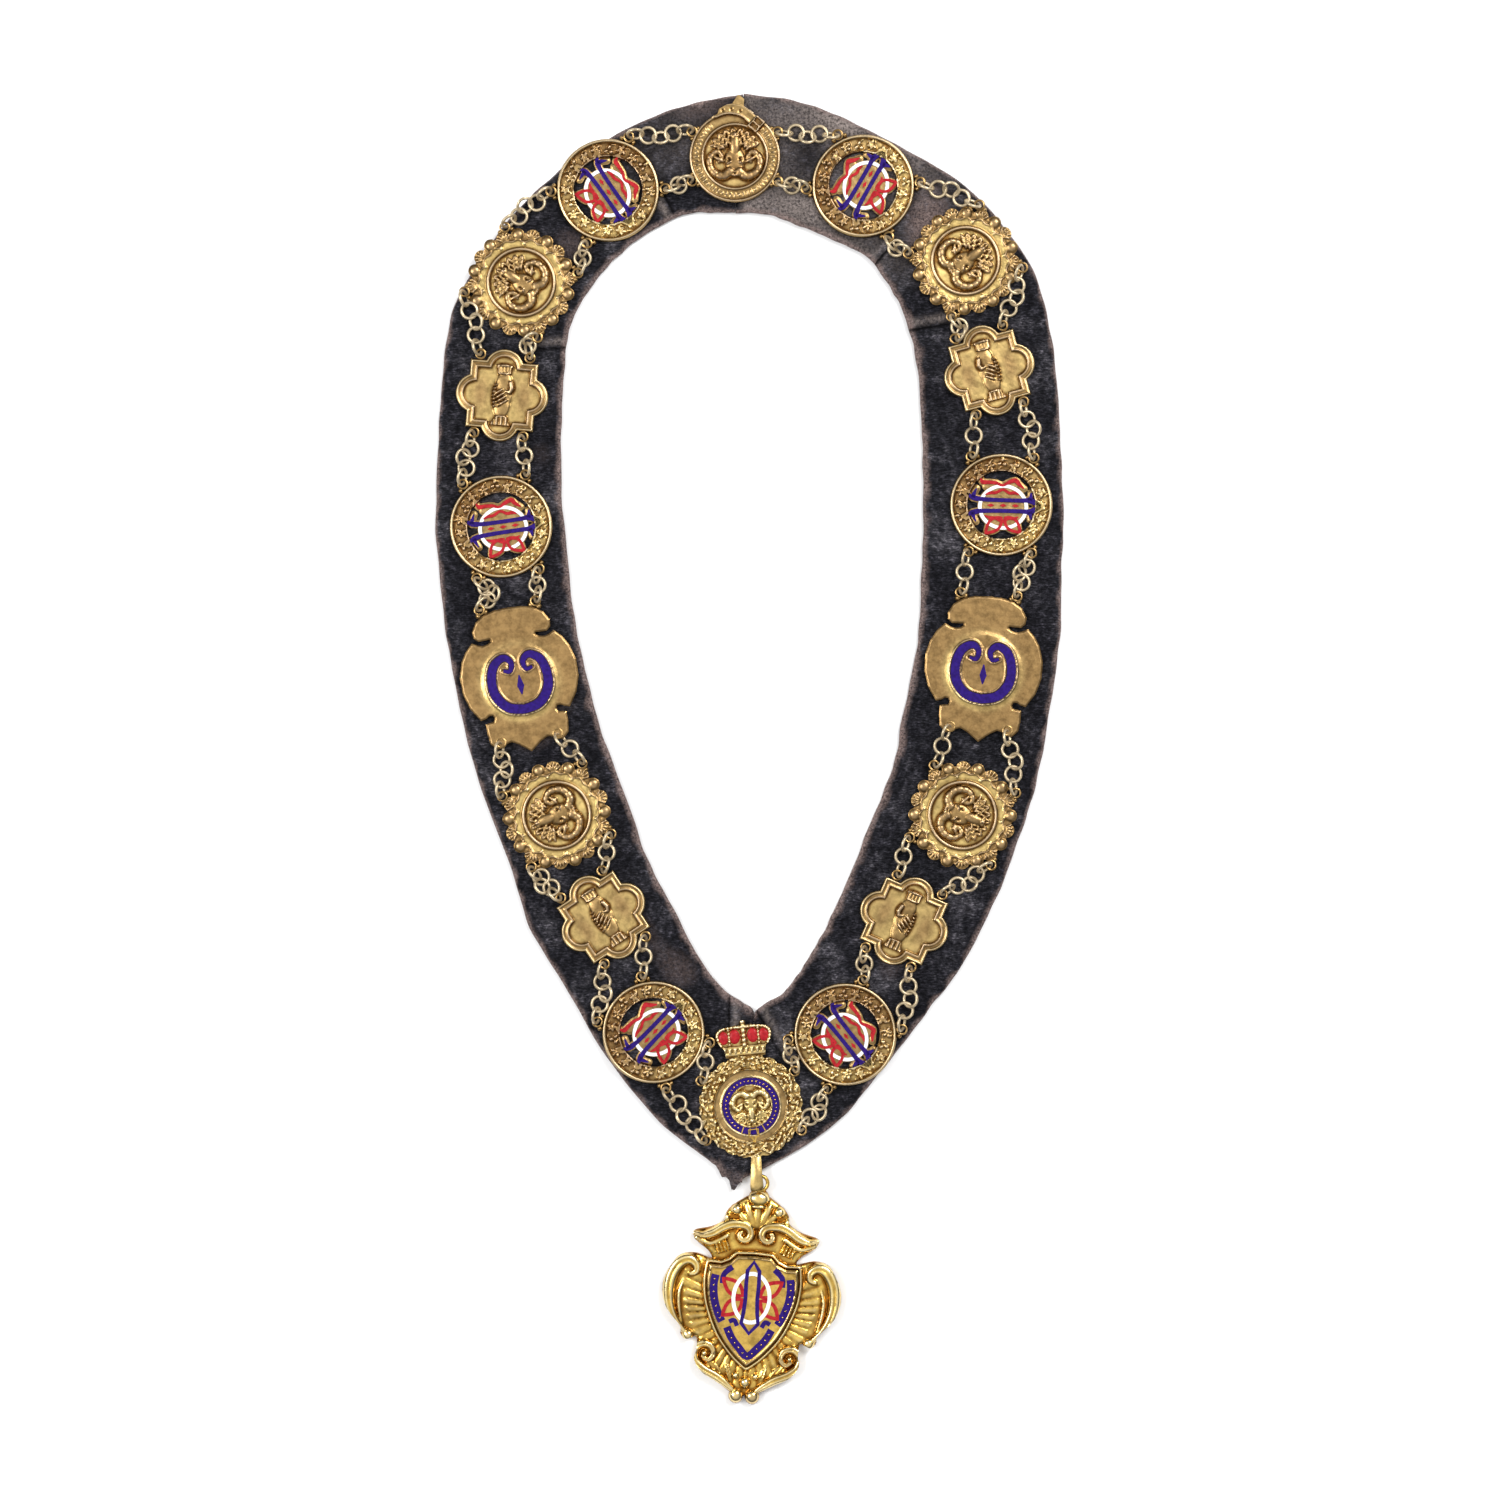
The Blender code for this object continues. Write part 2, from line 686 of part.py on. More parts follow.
def link_shape(centre, ahead, up, start):
    """A round wire link whose plane holds the two directions."""
    normal = ahead.cross(up)
    loops = []
    for i in range(LINK_SIDES):
        angle = start + math.tau * i / LINK_SIDES
        out = ahead * math.cos(angle) + up * math.sin(angle)
        loop = []
        for k in range(WIRE_SIDES):
            turn = math.tau * k / WIRE_SIDES
            loop.append(centre + out * (LINK_RADIUS + LINK_WIRE * math.cos(turn))
                        + normal * LINK_WIRE * math.sin(turn))
        loops.append(loop)
    return loop_solid(loops, ring=True)


def link_count(length, least):
    """The least odd number of links that spans a route of this length."""
    reach = 2 * LINK_RADIUS - 2 * LINK_WIRE + LINK_BITE
    count = least
    while 2 * first_link_reach() + (count - 1) * reach < length:
        count += 2
    return count


def chain_mesh(route, least):
    """Links in turn steep and flat along a route, fused into one body."""
    length = sum((b - a).length for a, b in zip(route, route[1:]))
    links = link_count(length, least)
    reach = first_link_reach()
    pitch = (length - 2 * reach) / (links - 1)
    cross = -math.atan2(lug_level_in_link(), reach)
    chain = None
    for i in range(links):
        middle, ahead = walk(route, reach + i * pitch)
        left = Vector((-ahead.y, ahead.x, 0))
        if i % 2:
            centre = middle + Vector((0, 0, flat_link_height(pitch)))
            link = link_shape(centre, ahead, left, 0)
        else:
            lean = left * math.cos(LINK_TILT) * (1 if i % 4 else -1)
            up = lean + Vector((0, 0, math.sin(LINK_TILT)))
            centre = middle + lean * lug_level_in_link() + Vector((0, 0, steep_link_height()))
            link = link_shape(centre, ahead if i else -ahead, up, cross)
        chain = combine(chain, link, "UNION") if chain else link
    return chain


def chain_tube(name, route, material):
    """A plain round bar where a finer chain runs, from eyelet to eyelet just above them."""
    length = sum((b - a).length for a, b in zip(route, route[1:]))
    count = max(3, round(length / (5 * CHAIN_TUBE_RADIUS)) + 1)
    curve = bpy.data.curves.new(name, "CURVE")
    curve.dimensions = "3D"
    curve.bevel_depth = CHAIN_TUBE_RADIUS
    curve.bevel_resolution = 2
    curve.render_resolution_u = 0
    curve.use_fill_caps = True
    spline = curve.splines.new("POLY")
    spline.points.add(count - 1)
    height = PLATE_TOP + PLATE_GAP + CHAIN_TUBE_RADIUS
    for i, point in enumerate(spline.points):
        middle, _ = walk(route, length * i / (count - 1))
        point.co = (middle.x, middle.y, height, 1)
    curve.materials.append(material)
    item = bpy.data.objects.new(name, curve)
    bpy.context.scene.collection.objects.link(item)


def add_chains(plates, letter, material):
    """The outer and inner chains from each plate to the next one down."""
    outer = -1 if letter == "L" else 1
    for i, (above, below) in enumerate(zip(plates, plates[1:])):
        upper_holes = lug_places(above[1])
        lower_holes = lug_places(below[1])
        for kind, side, least in (("outer", outer, OUTER_LINKS), ("inner", -outer, INNER_LINKS)):
            start_key = ("lower", side)
            if above[1] == "top":
                start_key = ("upper" if kind == "outer" else "lower", outer)
            end_key = ("upper", side)
            if below[1] == "centre":
                end_key = ("lower" if kind == "outer" else "upper", outer)
            start = plate_matrix(above) @ upper_holes[start_key]
            end = plate_matrix(below) @ lower_holes[end_key]
            to_neck = -outer
            if kind == "inner" and above[1] == "scallop":
                to_neck = outer
            route = chain_route(start, end, least, to_neck)
            name = f"{kind}_chain_{i + 1}{letter}"
            if kind == "outer" or i >= REAL_CHAIN_PAIRS:
                chain_tube(name, route, material)
            else:
                place(name, chain_mesh(route, least), material)


def pendant_point(across, up, height=0.0):
    return Vector((across * PENDANT_WIDTH / 2, up * PENDANT_HEIGHT / 2, height))


def mirrored_outline(half, scale=1.0):
    """A whole outline from its right half, run clockwise from the top."""
    right = [(x * scale, y * scale) for x, y in half]
    left = [(-x, y) for x, y in reversed(right) if x > 0]
    return [pendant_point(x, y) for x, y in right + left]


def layered(half, rows):
    """A solid from a half outline and rows of (scale, height)."""
    loops = []
    for scale, height in rows:
        loops.append([p + Vector((0, 0, height)) for p in mirrored_outline(half, scale)])
    return loop_solid(loops)


def scroll_shape(row, side):
    """A scroll: its tail, then its curl, on one side of the frame."""
    tail, centre, radii, start, sweep = row
    points = [pendant_point(x, y) for x, y in tail]
    for i in range(SCROLL_STEPS):
        t = i / (SCROLL_STEPS - 1)
        angle = math.radians(start + sweep * t)
        radius = (radii[0] + (radii[1] - radii[0]) * t) * PENDANT_WIDTH / 2
        curl = Vector((radius * math.cos(angle), radius * math.sin(angle), 0))
        points.append(pendant_point(*centre) + curl)
    level = FRAME_THICK - SCROLL_RADIUS / 3
    points = [Vector((side * p.x, p.y, level)) for p in points]
    return tube(points, SCROLL_RADIUS, WIRE_SIDES)


def frame_mesh():
    """The scrollwork frame with its finial, bottom knobs and fixed ring."""
    frame = layered(FRAME_OUTLINE, ((1.0, 0.0), (1.0, 0.75 * FRAME_THICK), (0.97, FRAME_THICK)))
    for row in FRAME_SCROLLS:
        pair = joined([scroll_shape(row, side) for side in (-1, 1)])
        frame = combine(frame, pair, "UNION")
    finial = pendant_point(0, 1.0) - Vector((0, 0.4 * FINIAL_RADIUS, 0))
    knob = pendant_point(0, -1.0) + Vector((0, KNOB_RADIUS, 0))
    beads = [dome(finial, FINIAL_RADIUS, RING_HEIGHT + 2 * RING_WIRE, 0)]
    for side in (-1, 1):
        offset = Vector((side * 1.12 * KNOB_RADIUS, 0, 0))
        beads.append(dome(knob + offset, KNOB_RADIUS, FRAME_THICK + RELIEF_STEP, 0))
    frame = combine(frame, joined(beads), "UNION")
    ring_centre = finial + Vector((0, FINIAL_RADIUS + RING_RADIUS - 3 * RING_WIRE, RING_HEIGHT))
    ring = link_ring(ring_centre)
    return combine(frame, ring, "UNION")


def link_ring(centre):
    """The pendant's own flat ring."""
    loops = []
    for i in range(LINK_SIDES):
        angle = math.tau * (i + 0.5) / LINK_SIDES
        out = Vector((math.cos(angle), math.sin(angle), 0))
        loop = []
        for k in range(WIRE_SIDES):
            turn = math.tau * k / WIRE_SIDES
            loop.append(centre + out * (RING_RADIUS + RING_WIRE * math.cos(turn))
                        + Vector((0, 0, RING_WIRE * math.sin(turn))))
        loops.append(loop)
    return loop_solid(loops, ring=True)


def shield_mesh():
    low = FRAME_THICK + SHIELD_GAP
    return layered(SHIELD_OUTLINE, ((1.0, low), (1.0, low + 0.6 * SHIELD_THICK),
                                    (0.94, low + SHIELD_THICK)))


def build():
    clear_scene()
    velvet = make_material("black velvet", (0.016, 0.016, 0.022), 0.9, 0.0)
    gilt = make_material("antique gilt brass", (0.44, 0.27, 0.085), 0.32, 1.0)
    pale = make_material("pale brass", (0.62, 0.55, 0.36), 0.25, 1.0)
    bright = make_material("bright gilt", (0.73, 0.45, 0.08), 0.25, 1.0)

    place("velvet_left", velvet_panel(LEFT_SECTIONS, LEFT_FOLDS), velvet)
    place("velvet_right", velvet_panel(RIGHT_SECTIONS, RIGHT_FOLDS), velvet)

    shapes = {form: plate_mesh(form) for form in BODIES}
    for row in (TOP_PLATE, *LEFT_PLATES, *RIGHT_PLATES, CENTRE_PLATE):
        place(row[0], shapes[row[1]].copy(), gilt, plate_matrix(row))
    add_chains((TOP_PLATE, *LEFT_PLATES, CENTRE_PLATE), "L", pale)
    add_chains((TOP_PLATE, *RIGHT_PLATES, CENTRE_PLATE), "R", pale)

    turn = Matrix.Rotation(math.radians(PENDANT_TURN), 4, "Z")
    middle = Vector((PENDANT_ACROSS, COLLAR_TOP - COLLAR_LENGTH - PENDANT_DROP + PENDANT_HEIGHT / 2, 0))
    matrix = Matrix.Translation(middle) @ turn
    place("pendant_frame", frame_mesh(), bright, matrix)
    place("pendant_shield", shield_mesh(), bright, matrix)


build()
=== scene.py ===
"""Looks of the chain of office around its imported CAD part.

Plate shapes are drawn in millimetres in each plate's own plane, then set in place in metres.
"""
import math

import bmesh
import bpy
import numpy as np
from mathutils import Matrix, Vector

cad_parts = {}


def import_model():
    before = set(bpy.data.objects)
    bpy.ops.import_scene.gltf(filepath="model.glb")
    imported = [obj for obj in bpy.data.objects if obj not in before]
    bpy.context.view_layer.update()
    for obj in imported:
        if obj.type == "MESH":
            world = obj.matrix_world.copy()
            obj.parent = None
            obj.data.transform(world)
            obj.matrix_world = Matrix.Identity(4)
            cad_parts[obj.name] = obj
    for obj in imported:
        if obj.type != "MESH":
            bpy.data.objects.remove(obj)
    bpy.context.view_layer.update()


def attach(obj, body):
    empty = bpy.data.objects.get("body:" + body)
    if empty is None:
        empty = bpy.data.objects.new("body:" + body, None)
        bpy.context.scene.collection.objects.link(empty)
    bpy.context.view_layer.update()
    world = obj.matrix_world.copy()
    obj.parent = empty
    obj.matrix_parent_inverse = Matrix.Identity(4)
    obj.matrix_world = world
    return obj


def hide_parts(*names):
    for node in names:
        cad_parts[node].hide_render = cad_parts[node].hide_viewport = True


MM = 0.001
SEED = 7

# Photograph
FRAME_WIDTH = 0.66
FRAME_MIDDLE = (0.0003, -0.0004)
CAMERA_HEIGHT = 1.6
FLOOR_SIZE = 6
FLOOR_HEIGHT = -0.0004
SENSOR_WIDTH = 36
LAMPS = (("key", (0.9, 1.0, 1.5), 0.8, 32), ("fill", (-1.2, 0.1, 1.4), 0.8, 22))
SKY = ((0.0, 0.05), (0.35, 0.16), (0.62, 0.5), (0.86, 0.98), (1.0, 1.05))

# Metals: colour, share of it left in the hollows as painted shade, colour of the high places as a painted
# highlight, least and most roughness, strength of the pits, metallic share
GILT = ((0.68, 0.50, 0.19), (0.27, 0.18, 0.12), (0.87, 0.73, 0.45), (0.28, 0.42), 0.25, 1.0)
PALE = ((0.72, 0.60, 0.38), (0.30, 0.24, 0.15), (0.88, 0.78, 0.56), (0.28, 0.40), 0.12, 0.6)
BRIGHT = ((0.80, 0.53, 0.125), (0.46, 0.28, 0.13), (0.96, 0.82, 0.46), (0.16, 0.28), 0.15, 1.0)

# Layers of colour: grains a metre, detail and roughness of a noise, and the colours along it
PLAIN = (1, 1, 1)
METAL_BLOTCH = ((260, 6, 0.7), ((0.36, (0.42, 0.40, 0.38)), (0.60, PLAIN)))
METAL_TINTS = ((0.0, (0.34, 0.24, 0.23)), (0.5, (0.60, 0.54, 0.58)), (1.0, PLAIN))
PILE_STRETCH = (0.4, 1.3, 1.0)
PILE_CLOUD = ((60, 6, 0.65), ((0.36, (0.007, 0.007, 0.009)), (0.52, (0.013, 0.013, 0.016)),
                              (0.72, (0.055, 0.053, 0.060))))
PILE_SMUDGE = ((330, 4, 0.7), ((0.36, (0.5, 0.5, 0.5)), (0.54, PLAIN), (0.70, (2.6, 2.5, 2.5))))
PILE_SPECK = ((1200, 4, 0.75, PILE_STRETCH), ((0.38, (0.30, 0.30, 0.35)), (0.52, PLAIN),
                                              (0.66, (3.0, 2.9, 2.9))))
PILE_GREY = ((900, 5, 0.75), ((0.38, (0.045, 0.038, 0.036)), (0.62, (0.30, 0.25, 0.23))))
PILE_BROWN = ((1100, 5, 0.75), ((0.38, (0.045, 0.032, 0.031)), (0.62, (0.36, 0.26, 0.235))))
# Painted shade along the velvet's folds
PAINTED_FOLD_SHADE = ((0.0, PLAIN), (1.0, (0.06, 0.06, 0.07)))
PAPER = ((9,), ((0.3, (0.88, 0.88, 0.885)), (0.7, (0.9, 0.9, 0.9))))

# Fine grain of the surfaces: grains a metre, depth in metres
METAL_PITS = ((2600, 0.00012), (520, 0.0003))
METAL_SPREAD = 420
ENAMEL_CLOUD = 700
ENAMEL_SPREAD = 300
ENAMEL_GLOSS = (0.22, 0.36)

# Enamels: colour, its clouds
BLUE = ((0.021, 0.006, 0.14), (0.013, 0.003, 0.085))
RED = ((0.39, 0.016, 0.022), (0.26, 0.008, 0.012))
WHITE = ((0.84, 0.84, 0.84), (0.72, 0.72, 0.73))

# Sharpest angle that is still shaded soft, in degrees
PIECE_CREASE = 50
CLOTH_CREASE = 70
RELIEF_CREASE = 55
SMALL_CREASE = 40

# Velvet collar, as in the part's source
COLLAR_WIDTH = 0.276
COLLAR_LENGTH = 0.476
PENDANT_DROP = 0.1
BAND_WIDTH = 0.0575
SEAM_GAP = 0.0003
COLLAR_TOP = (COLLAR_LENGTH + PENDANT_DROP) / 2
VELVET_STATIONS = 460
VELVET_COLUMNS = 50
VELVET_EDGE = 1.6
VELVET_REST = 3.25
TAIL_REACH = 5.5
VELVET_MIDDLE = 1.5
VELVET_TOP = 3.0
VELVET_PUFF = 0.25
VELVET_WAVES = 0.22
VELVET_SEEDS = (11, 12)

# Heights of the plates, in millimetres
PLATE_BASE = 3.3
LUG_MIDDLE = 5.3
PLATE_CELL = 0.33

# Shades of the plates' parts, from 0 to 1, and the height that takes them from painted shade to painted
# highlight
LUG_TINT = 0.4
SHAPE_TINT = 0.8
SHAPE_RELIEF = 0.6
# Painted shade at the feet of the plates' walls
FOOT_RELIEF = 0.3
RELIEF_MIDDLE = 0.5
RELIEF_REACH = 0.95

# Sizes of the plates, in millimetres
KNOT_RADIUS = 22.6
KNOT_WINDOW = 14.75
SCALLOP_RADIUS = 23.8
SCALLOP_RING = 14.6
QUATREFOIL_LOBE = 8.8
QUATREFOIL_OFFSET = 11.5
QUATREFOIL_HALF_SIDE = 14.9
QUATREFOIL_BORDER = 3.4
CARTOUCHE_LENGTH = 63.5
TOP_RADIUS = 20.0
TOP_RECESS = 13.7
STRAP_TIP = 27.2
CENTRE_RADIUS = 22.9
CENTRE_RING = 16.3
CENTRE_FIELD = 12.8
LUG_RADIUS = 2.5
LUG_REACH = 2.2
LUG_WIRE = 0.48

# Links, in millimetres
LINK_RADIUS = 3.45
LINK_WIRE = 0.6
LINK_TILT = math.radians(65)
LINK_LYING = math.radians(38)
LINK_TIP = 9
LINK_LIFT = 0.2
LINK_SLACK_PITCH = 3.0
LINK_TOUCH = 0.65
LINK_DRAWN = 0.68
OUTER_LINKS = 5
INNER_LINKS = 3

# Bail and pendant, in millimetres
BAIL_WIDTH = 5.9
BAIL_THICK = 0.8
BAIL_LEAN = 0.08
RING_RADIUS = 3.3
RING_WIRE = 0.8
RING_HEIGHT = 5.2
PENDANT_HALF_WIDTH = 39.4
PENDANT_HALF_HEIGHT = 47.0
PENDANT_TURN = -4.4
PENDANT_ACROSS = 0.0009
PENDANT_CELL = 0.42
FINIAL_RADIUS = 4.7
KNOB_RADIUS = 3.2
SHIELD_LOW = 4.5
SHIELD_THICK = 2.2
SHIELD_FOOT = 3.0
PENDANT_BASE = 0.3

# Panel sections from the top seam to the bottom V, as in the part's source.
# Columns: middle across (half collar widths), drop (collar lengths),
# width (band widths), bearing of the outer edge from the inner edge (degrees).
LEFT_SECTIONS = (
    (-0.032, 0.055, 0.91, 86),
    (-0.128, 0.058, 0.86, 94),
    (-0.224, 0.063, 0.80, 102),
    (-0.331, 0.076, 0.78, 113),
    (-0.466, 0.100, 0.78, 121),
    (-0.573, 0.127, 0.80, 133),
    (-0.657, 0.156, 0.82, 147),
    (-0.733, 0.192, 0.86, 160),
    (-0.770, 0.225, 0.92, 170),
    (-0.792, 0.298, 0.93, 180),
    (-0.797, 0.380, 0.97, 181),
    (-0.785, 0.428, 0.99, 183),
    (-0.758, 0.497, 0.99, 186),
    (-0.691, 0.587, 1.01, 190),
    (-0.630, 0.641, 1.02, 199),
    (-0.566, 0.690, 1.01, 204),
    (-0.509, 0.740, 1.04, 208),
    (-0.405, 0.793, 1.02, 216),
    (-0.322, 0.837, 1.02, 221),
    (-0.230, 0.873, 1.05, 230),
    (-0.135, 0.899, 1.14, 242),
    (-0.002, 0.925, 1.27, 266),
)
RIGHT_SECTIONS = (
    (-0.032, 0.055, 0.91, 86),
    (0.103, 0.059, 0.90, 77),
    (0.236, 0.073, 0.89, 66),
    (0.382, 0.093, 0.87, 56),
    (0.508, 0.113, 0.89, 45),
    (0.584, 0.134, 0.96, 34),
    (0.647, 0.158, 1.00, 24),
    (0.706, 0.189, 1.06, 13),
    (0.757, 0.257, 1.05, 3),
    (0.777, 0.380, 1.07, 0),
    (0.771, 0.442, 1.07, 0),
    (0.762, 0.506, 1.08, -2),
    (0.710, 0.593, 1.10, -9),
    (0.677, 0.638, 1.09, -14),
    (0.588, 0.707, 1.11, -20),
    (0.530, 0.746, 1.09, -24),
    (0.474, 0.778, 1.06, -30),
    (0.399, 0.812, 0.99, -36),
    (0.347, 0.834, 0.98, -43),
    (0.267, 0.865, 1.00, -56),
    (0.180, 0.893, 1.08, -68),
    (-0.002, 0.925, 1.27, -94),
)

# Fading of the velvet: where it starts upwards, rightwards at the seam, leftwards and at the
# crown, and over how far it grows, in millimetres
FADE_UP = (200, 40)
FADE_SEAM = (-5, 4)
FADE_LEFT = (-100, 60)
FADE_CROWN = (245, 25)

# Creases of the velvet. Columns: ends (millimetres), how far the swell reaches to the left
# of the line from the first end to the second, height.
CREASES = (
    ((-92.7, 176.0), (-80.5, 176.6), 9.0, 0.9),
    ((70.1, 184.1), (86.3, 187.0), 8.0, 0.8),
    ((-34.0, 236.0), (-40.0, 247.0), 5.0, 0.9),
    ((54.0, 212.0), (60.0, 219.0), 5.0, 0.8),
    ((-8.4, -109.5), (-8.6, -124.0), 5.0, 0.8),
    ((4.0, -115.3), (14.0, -134.0), 7.0, 0.9),
    ((51.0, -156.0), (40.0, -163.0), 6.0, 0.6),
)

# Plates from the top down, as in the part's source. Columns: node, form, middle across (half
# collar widths), drop (collar lengths), turn of the plate's upward axis from +Y (degrees).
TOP_PLATE = ("top_medallion", "top", -0.046, 0.059, 0)
CENTRE_PLATE = ("centre_medallion", "centre", 0.005, 0.934, 6)
LEFT_PLATES = (
    ("knot_disc_1L", "knot", -0.449, 0.090, -55),
    ("scallop_1L", "scallop", -0.725, 0.175, -32),
    ("quatrefoil_1L", "quatrefoil", -0.786, 0.279, -5),
    ("knot_disc_2L", "knot", -0.789, 0.400, 8.5),
    ("cartouche_L", "cartouche", -0.730, 0.540, 9.5),
    ("scallop_2L", "scallop", -0.612, 0.666, 22.4),
    ("quatrefoil_2L", "quatrefoil", -0.464, 0.760, 33.5),
    ("knot_disc_3L", "knot", -0.304, 0.866, 46),
)
RIGHT_PLATES = (
    ("knot_disc_1R", "knot", 0.362, 0.086, 60),
    ("scallop_1R", "scallop", 0.687, 0.155, 34.5),
    ("quatrefoil_1R", "quatrefoil", 0.763, 0.256, 15.4),
    ("knot_disc_2R", "knot", 0.801, 0.380, -1.5),
    ("cartouche_R", "cartouche", 0.744, 0.5305, -4.2),
    ("scallop_2R", "scallop", 0.678, 0.666, -18.8),
    ("quatrefoil_2R", "quatrefoil", 0.492, 0.7635, -23.4),
    ("knot_disc_3R", "knot", 0.305, 0.868, -51.5),
)

# Eyelets of each form: angle of the upper and of the lower pair (degrees), reach share
LUG_SETTING = {
    "top": (60, 60, 0.75),
    "knot": (33.5, 33.5, 1.1),
    "scallop": (48.5, 48.5, 0.8),
    "quatrefoil": (32, 32, 1.3),
    "cartouche": (21.0, 25.4, 1.0),
    "centre": (57.2, 58.5, 1.0),
}

# Curls at an eyelet's foot: back from its middle, to each side, height of their foot, radius, rise
LUG_CURLS = dict.fromkeys(("knot", "scallop", "top"), (1.5, 2.7, 4.4, 1.1, 1.3))
LUG_CURLS["cartouche"] = (2.0, 1.7, 3.9, 1.5, 1.5)

# Outline of the right half of a cartouche: angle from its upward axis, radius in lengths
CARTOUCHE_OUTLINE = (
    (0, 0.500), (15, 0.510), (27, 0.515), (33, 0.505), (38, 0.390), (50, 0.385),
    (67, 0.410), (90, 0.420), (111, 0.415), (127, 0.370), (135, 0.345), (146, 0.420),
    (156, 0.430), (168, 0.440), (180, 0.500),
)

# Right half of the pendant frame, from the finial down (half widths, half heights)
FRAME_OUTLINE = (
    (0.127, 0.943), (0.266, 0.862), (0.345, 0.787), (0.371, 0.702), (0.508, 0.634),
    (0.698, 0.585), (0.660, 0.494), (0.520, 0.409), (0.482, 0.340), (0.660, 0.379),
    (0.799, 0.362), (0.888, 0.294), (0.977, 0.149), (1.000, 0.021), (0.952, -0.117),
    (0.888, -0.196), (0.761, -0.315), (0.761, -0.379), (0.706, -0.426), (0.584, -0.404),
    (0.566, -0.511), (0.584, -0.606), (0.492, -0.717), (0.322, -0.800), (0.203, -0.872),
    (0.090, -0.920),
)

# Right half of the shield, from the top middle down (half widths, half heights)
SHIELD_OUTLINE = (
    (0.000, 0.398), (0.190, 0.390), (0.260, 0.330), (0.360, 0.292), (0.495, 0.297),
    (0.510, 0.130), (0.470, -0.080), (0.335, -0.340), (0.155, -0.530), (0.000, -0.640),
)


# Shading

class Shading:
    """The nodes that the looks are made of, in one material or world."""

    def __init__(self, tree):
        self.nodes = tree.nodes
        self.link = tree.links.new

    def texture(self, scale, detail=3.0, rough=0.55, stretch=(1, 1, 1)):
        """A noise over the object's place, at so many grains a metre, closer where stretch is larger."""
        place = self.nodes.new("ShaderNodeNewGeometry")
        mapping = self.nodes.new("ShaderNodeMapping")
        mapping.inputs["Scale"].default_value = stretch
        noise = self.nodes.new("ShaderNodeTexNoise")
        for name, value in (("Scale", scale), ("Detail", detail), ("Roughness", rough)):
            noise.inputs[name].default_value = value
        self.link(place.outputs["Position"], mapping.inputs["Vector"])
        self.link(mapping.outputs["Vector"], noise.inputs["Vector"])
        return noise.outputs["Fac"]

    def ramp(self, source, stops):
        """Colours along a value. Stops: place, colour."""
        node = self.nodes.new("ShaderNodeValToRGB")
        elements = node.color_ramp.elements
        while len(elements) < len(stops):
            elements.new(0.5)
        for element, (at, colour) in zip(elements, stops):
            element.position = at
            element.color = (*colour, 1)
        self.link(source, node.inputs["Fac"])
        return node.outputs["Color"]

    def layer(self, grain, stops):
        return self.ramp(self.texture(*grain), stops)

    def blend(self, mode, share, first, second):
        node = self.nodes.new("ShaderNodeMix")
        node.data_type = "RGBA"
        node.blend_type = mode
        for slot, value in ((0, share), (6, first), (7, second)):
            if isinstance(value, bpy.types.NodeSocket):
                self.link(value, node.inputs[slot])
            else:
                node.inputs[slot].default_value = value if slot == 0 else (*value, 1)
        return node.outputs[2]

    def span(self, source, low, high, start=0.3, end=0.7):
        """A value from start to end as one from low to high."""
        node = self.nodes.new("ShaderNodeMapRange")
        for slot, value in ((1, start), (2, end), (3, low), (4, high)):
            node.inputs[slot].default_value = value
        self.link(source, node.inputs[0])
        return node.outputs[0]

    def bump(self, rows):
        """Bumps one on another. Rows: height source, strength, depth in metres."""
        normal = None
        for source, strength, depth in rows:
            node = self.nodes.new("ShaderNodeBump")
            node.inputs["Strength"].default_value = strength
            node.inputs["Distance"].default_value = depth
            self.link(source, node.inputs["Height"])
            if normal:
                self.link(normal, node.inputs["Normal"])
            normal = node.outputs["Normal"]
        return normal

    def attribute(self, name):
        node = self.nodes.new("ShaderNodeAttribute")
        node.attribute_name = name
        return node.outputs["Fac"]


def start_material(name):
    material = bpy.data.materials.new(name)
    material.use_nodes = True
    shade = Shading(material.node_tree)
    return material, shade, shade.nodes["Principled BSDF"].inputs


def metal(name, plain, hollow_shade_colour, bright, rough, strength, purity):
    """Cast metal: tinted by region, painted shade in the hollows, painted highlight on the high places,
    finely pitted.
    """
    material, shade, inputs = start_material(name)
    inputs["Metallic"].default_value = purity
    colour = shade.blend("MULTIPLY", 0.75, plain, shade.layer(*METAL_BLOTCH))
    relief = shade.attribute("relief")
    # Painted shade: the hollows of the relief take a darker share of the colour
    painted_hollow_shade = shade.ramp(relief, ((0.08, hollow_shade_colour), (0.46, PLAIN)))
    colour = shade.blend("MULTIPLY", 1.0, colour, painted_hollow_shade)
    # Painted highlight: the high places of the relief blend to the bright colour
    high = shade.span(relief, 0.0, 0.65, 0.6, 1.0)
    colour = shade.blend("MIX", high, colour, bright)
    region = shade.ramp(shade.attribute("tint"), METAL_TINTS)
    shade.link(shade.blend("MULTIPLY", 1.0, colour, region), inputs["Base Color"])
    shade.link(shade.span(shade.texture(METAL_SPREAD), *rough), inputs["Roughness"])
    pits = [(shade.texture(scale), strength, depth) for scale, depth in METAL_PITS]
    shade.link(shade.bump(pits), inputs["Normal"])
    return material


def enamel(name, colour, clouds):
    """Glassy enamel with a little cloud in its colour."""
    material, shade, inputs = start_material(name)
    stops = ((0.35, clouds), (0.6, colour))
    shade.link(shade.layer((ENAMEL_CLOUD,), stops), inputs["Base Color"])
    shade.link(shade.span(shade.texture(ENAMEL_SPREAD), *ENAMEL_GLOSS), inputs["Roughness"])
    inputs["Specular IOR Level"].default_value = 0.12
    return material


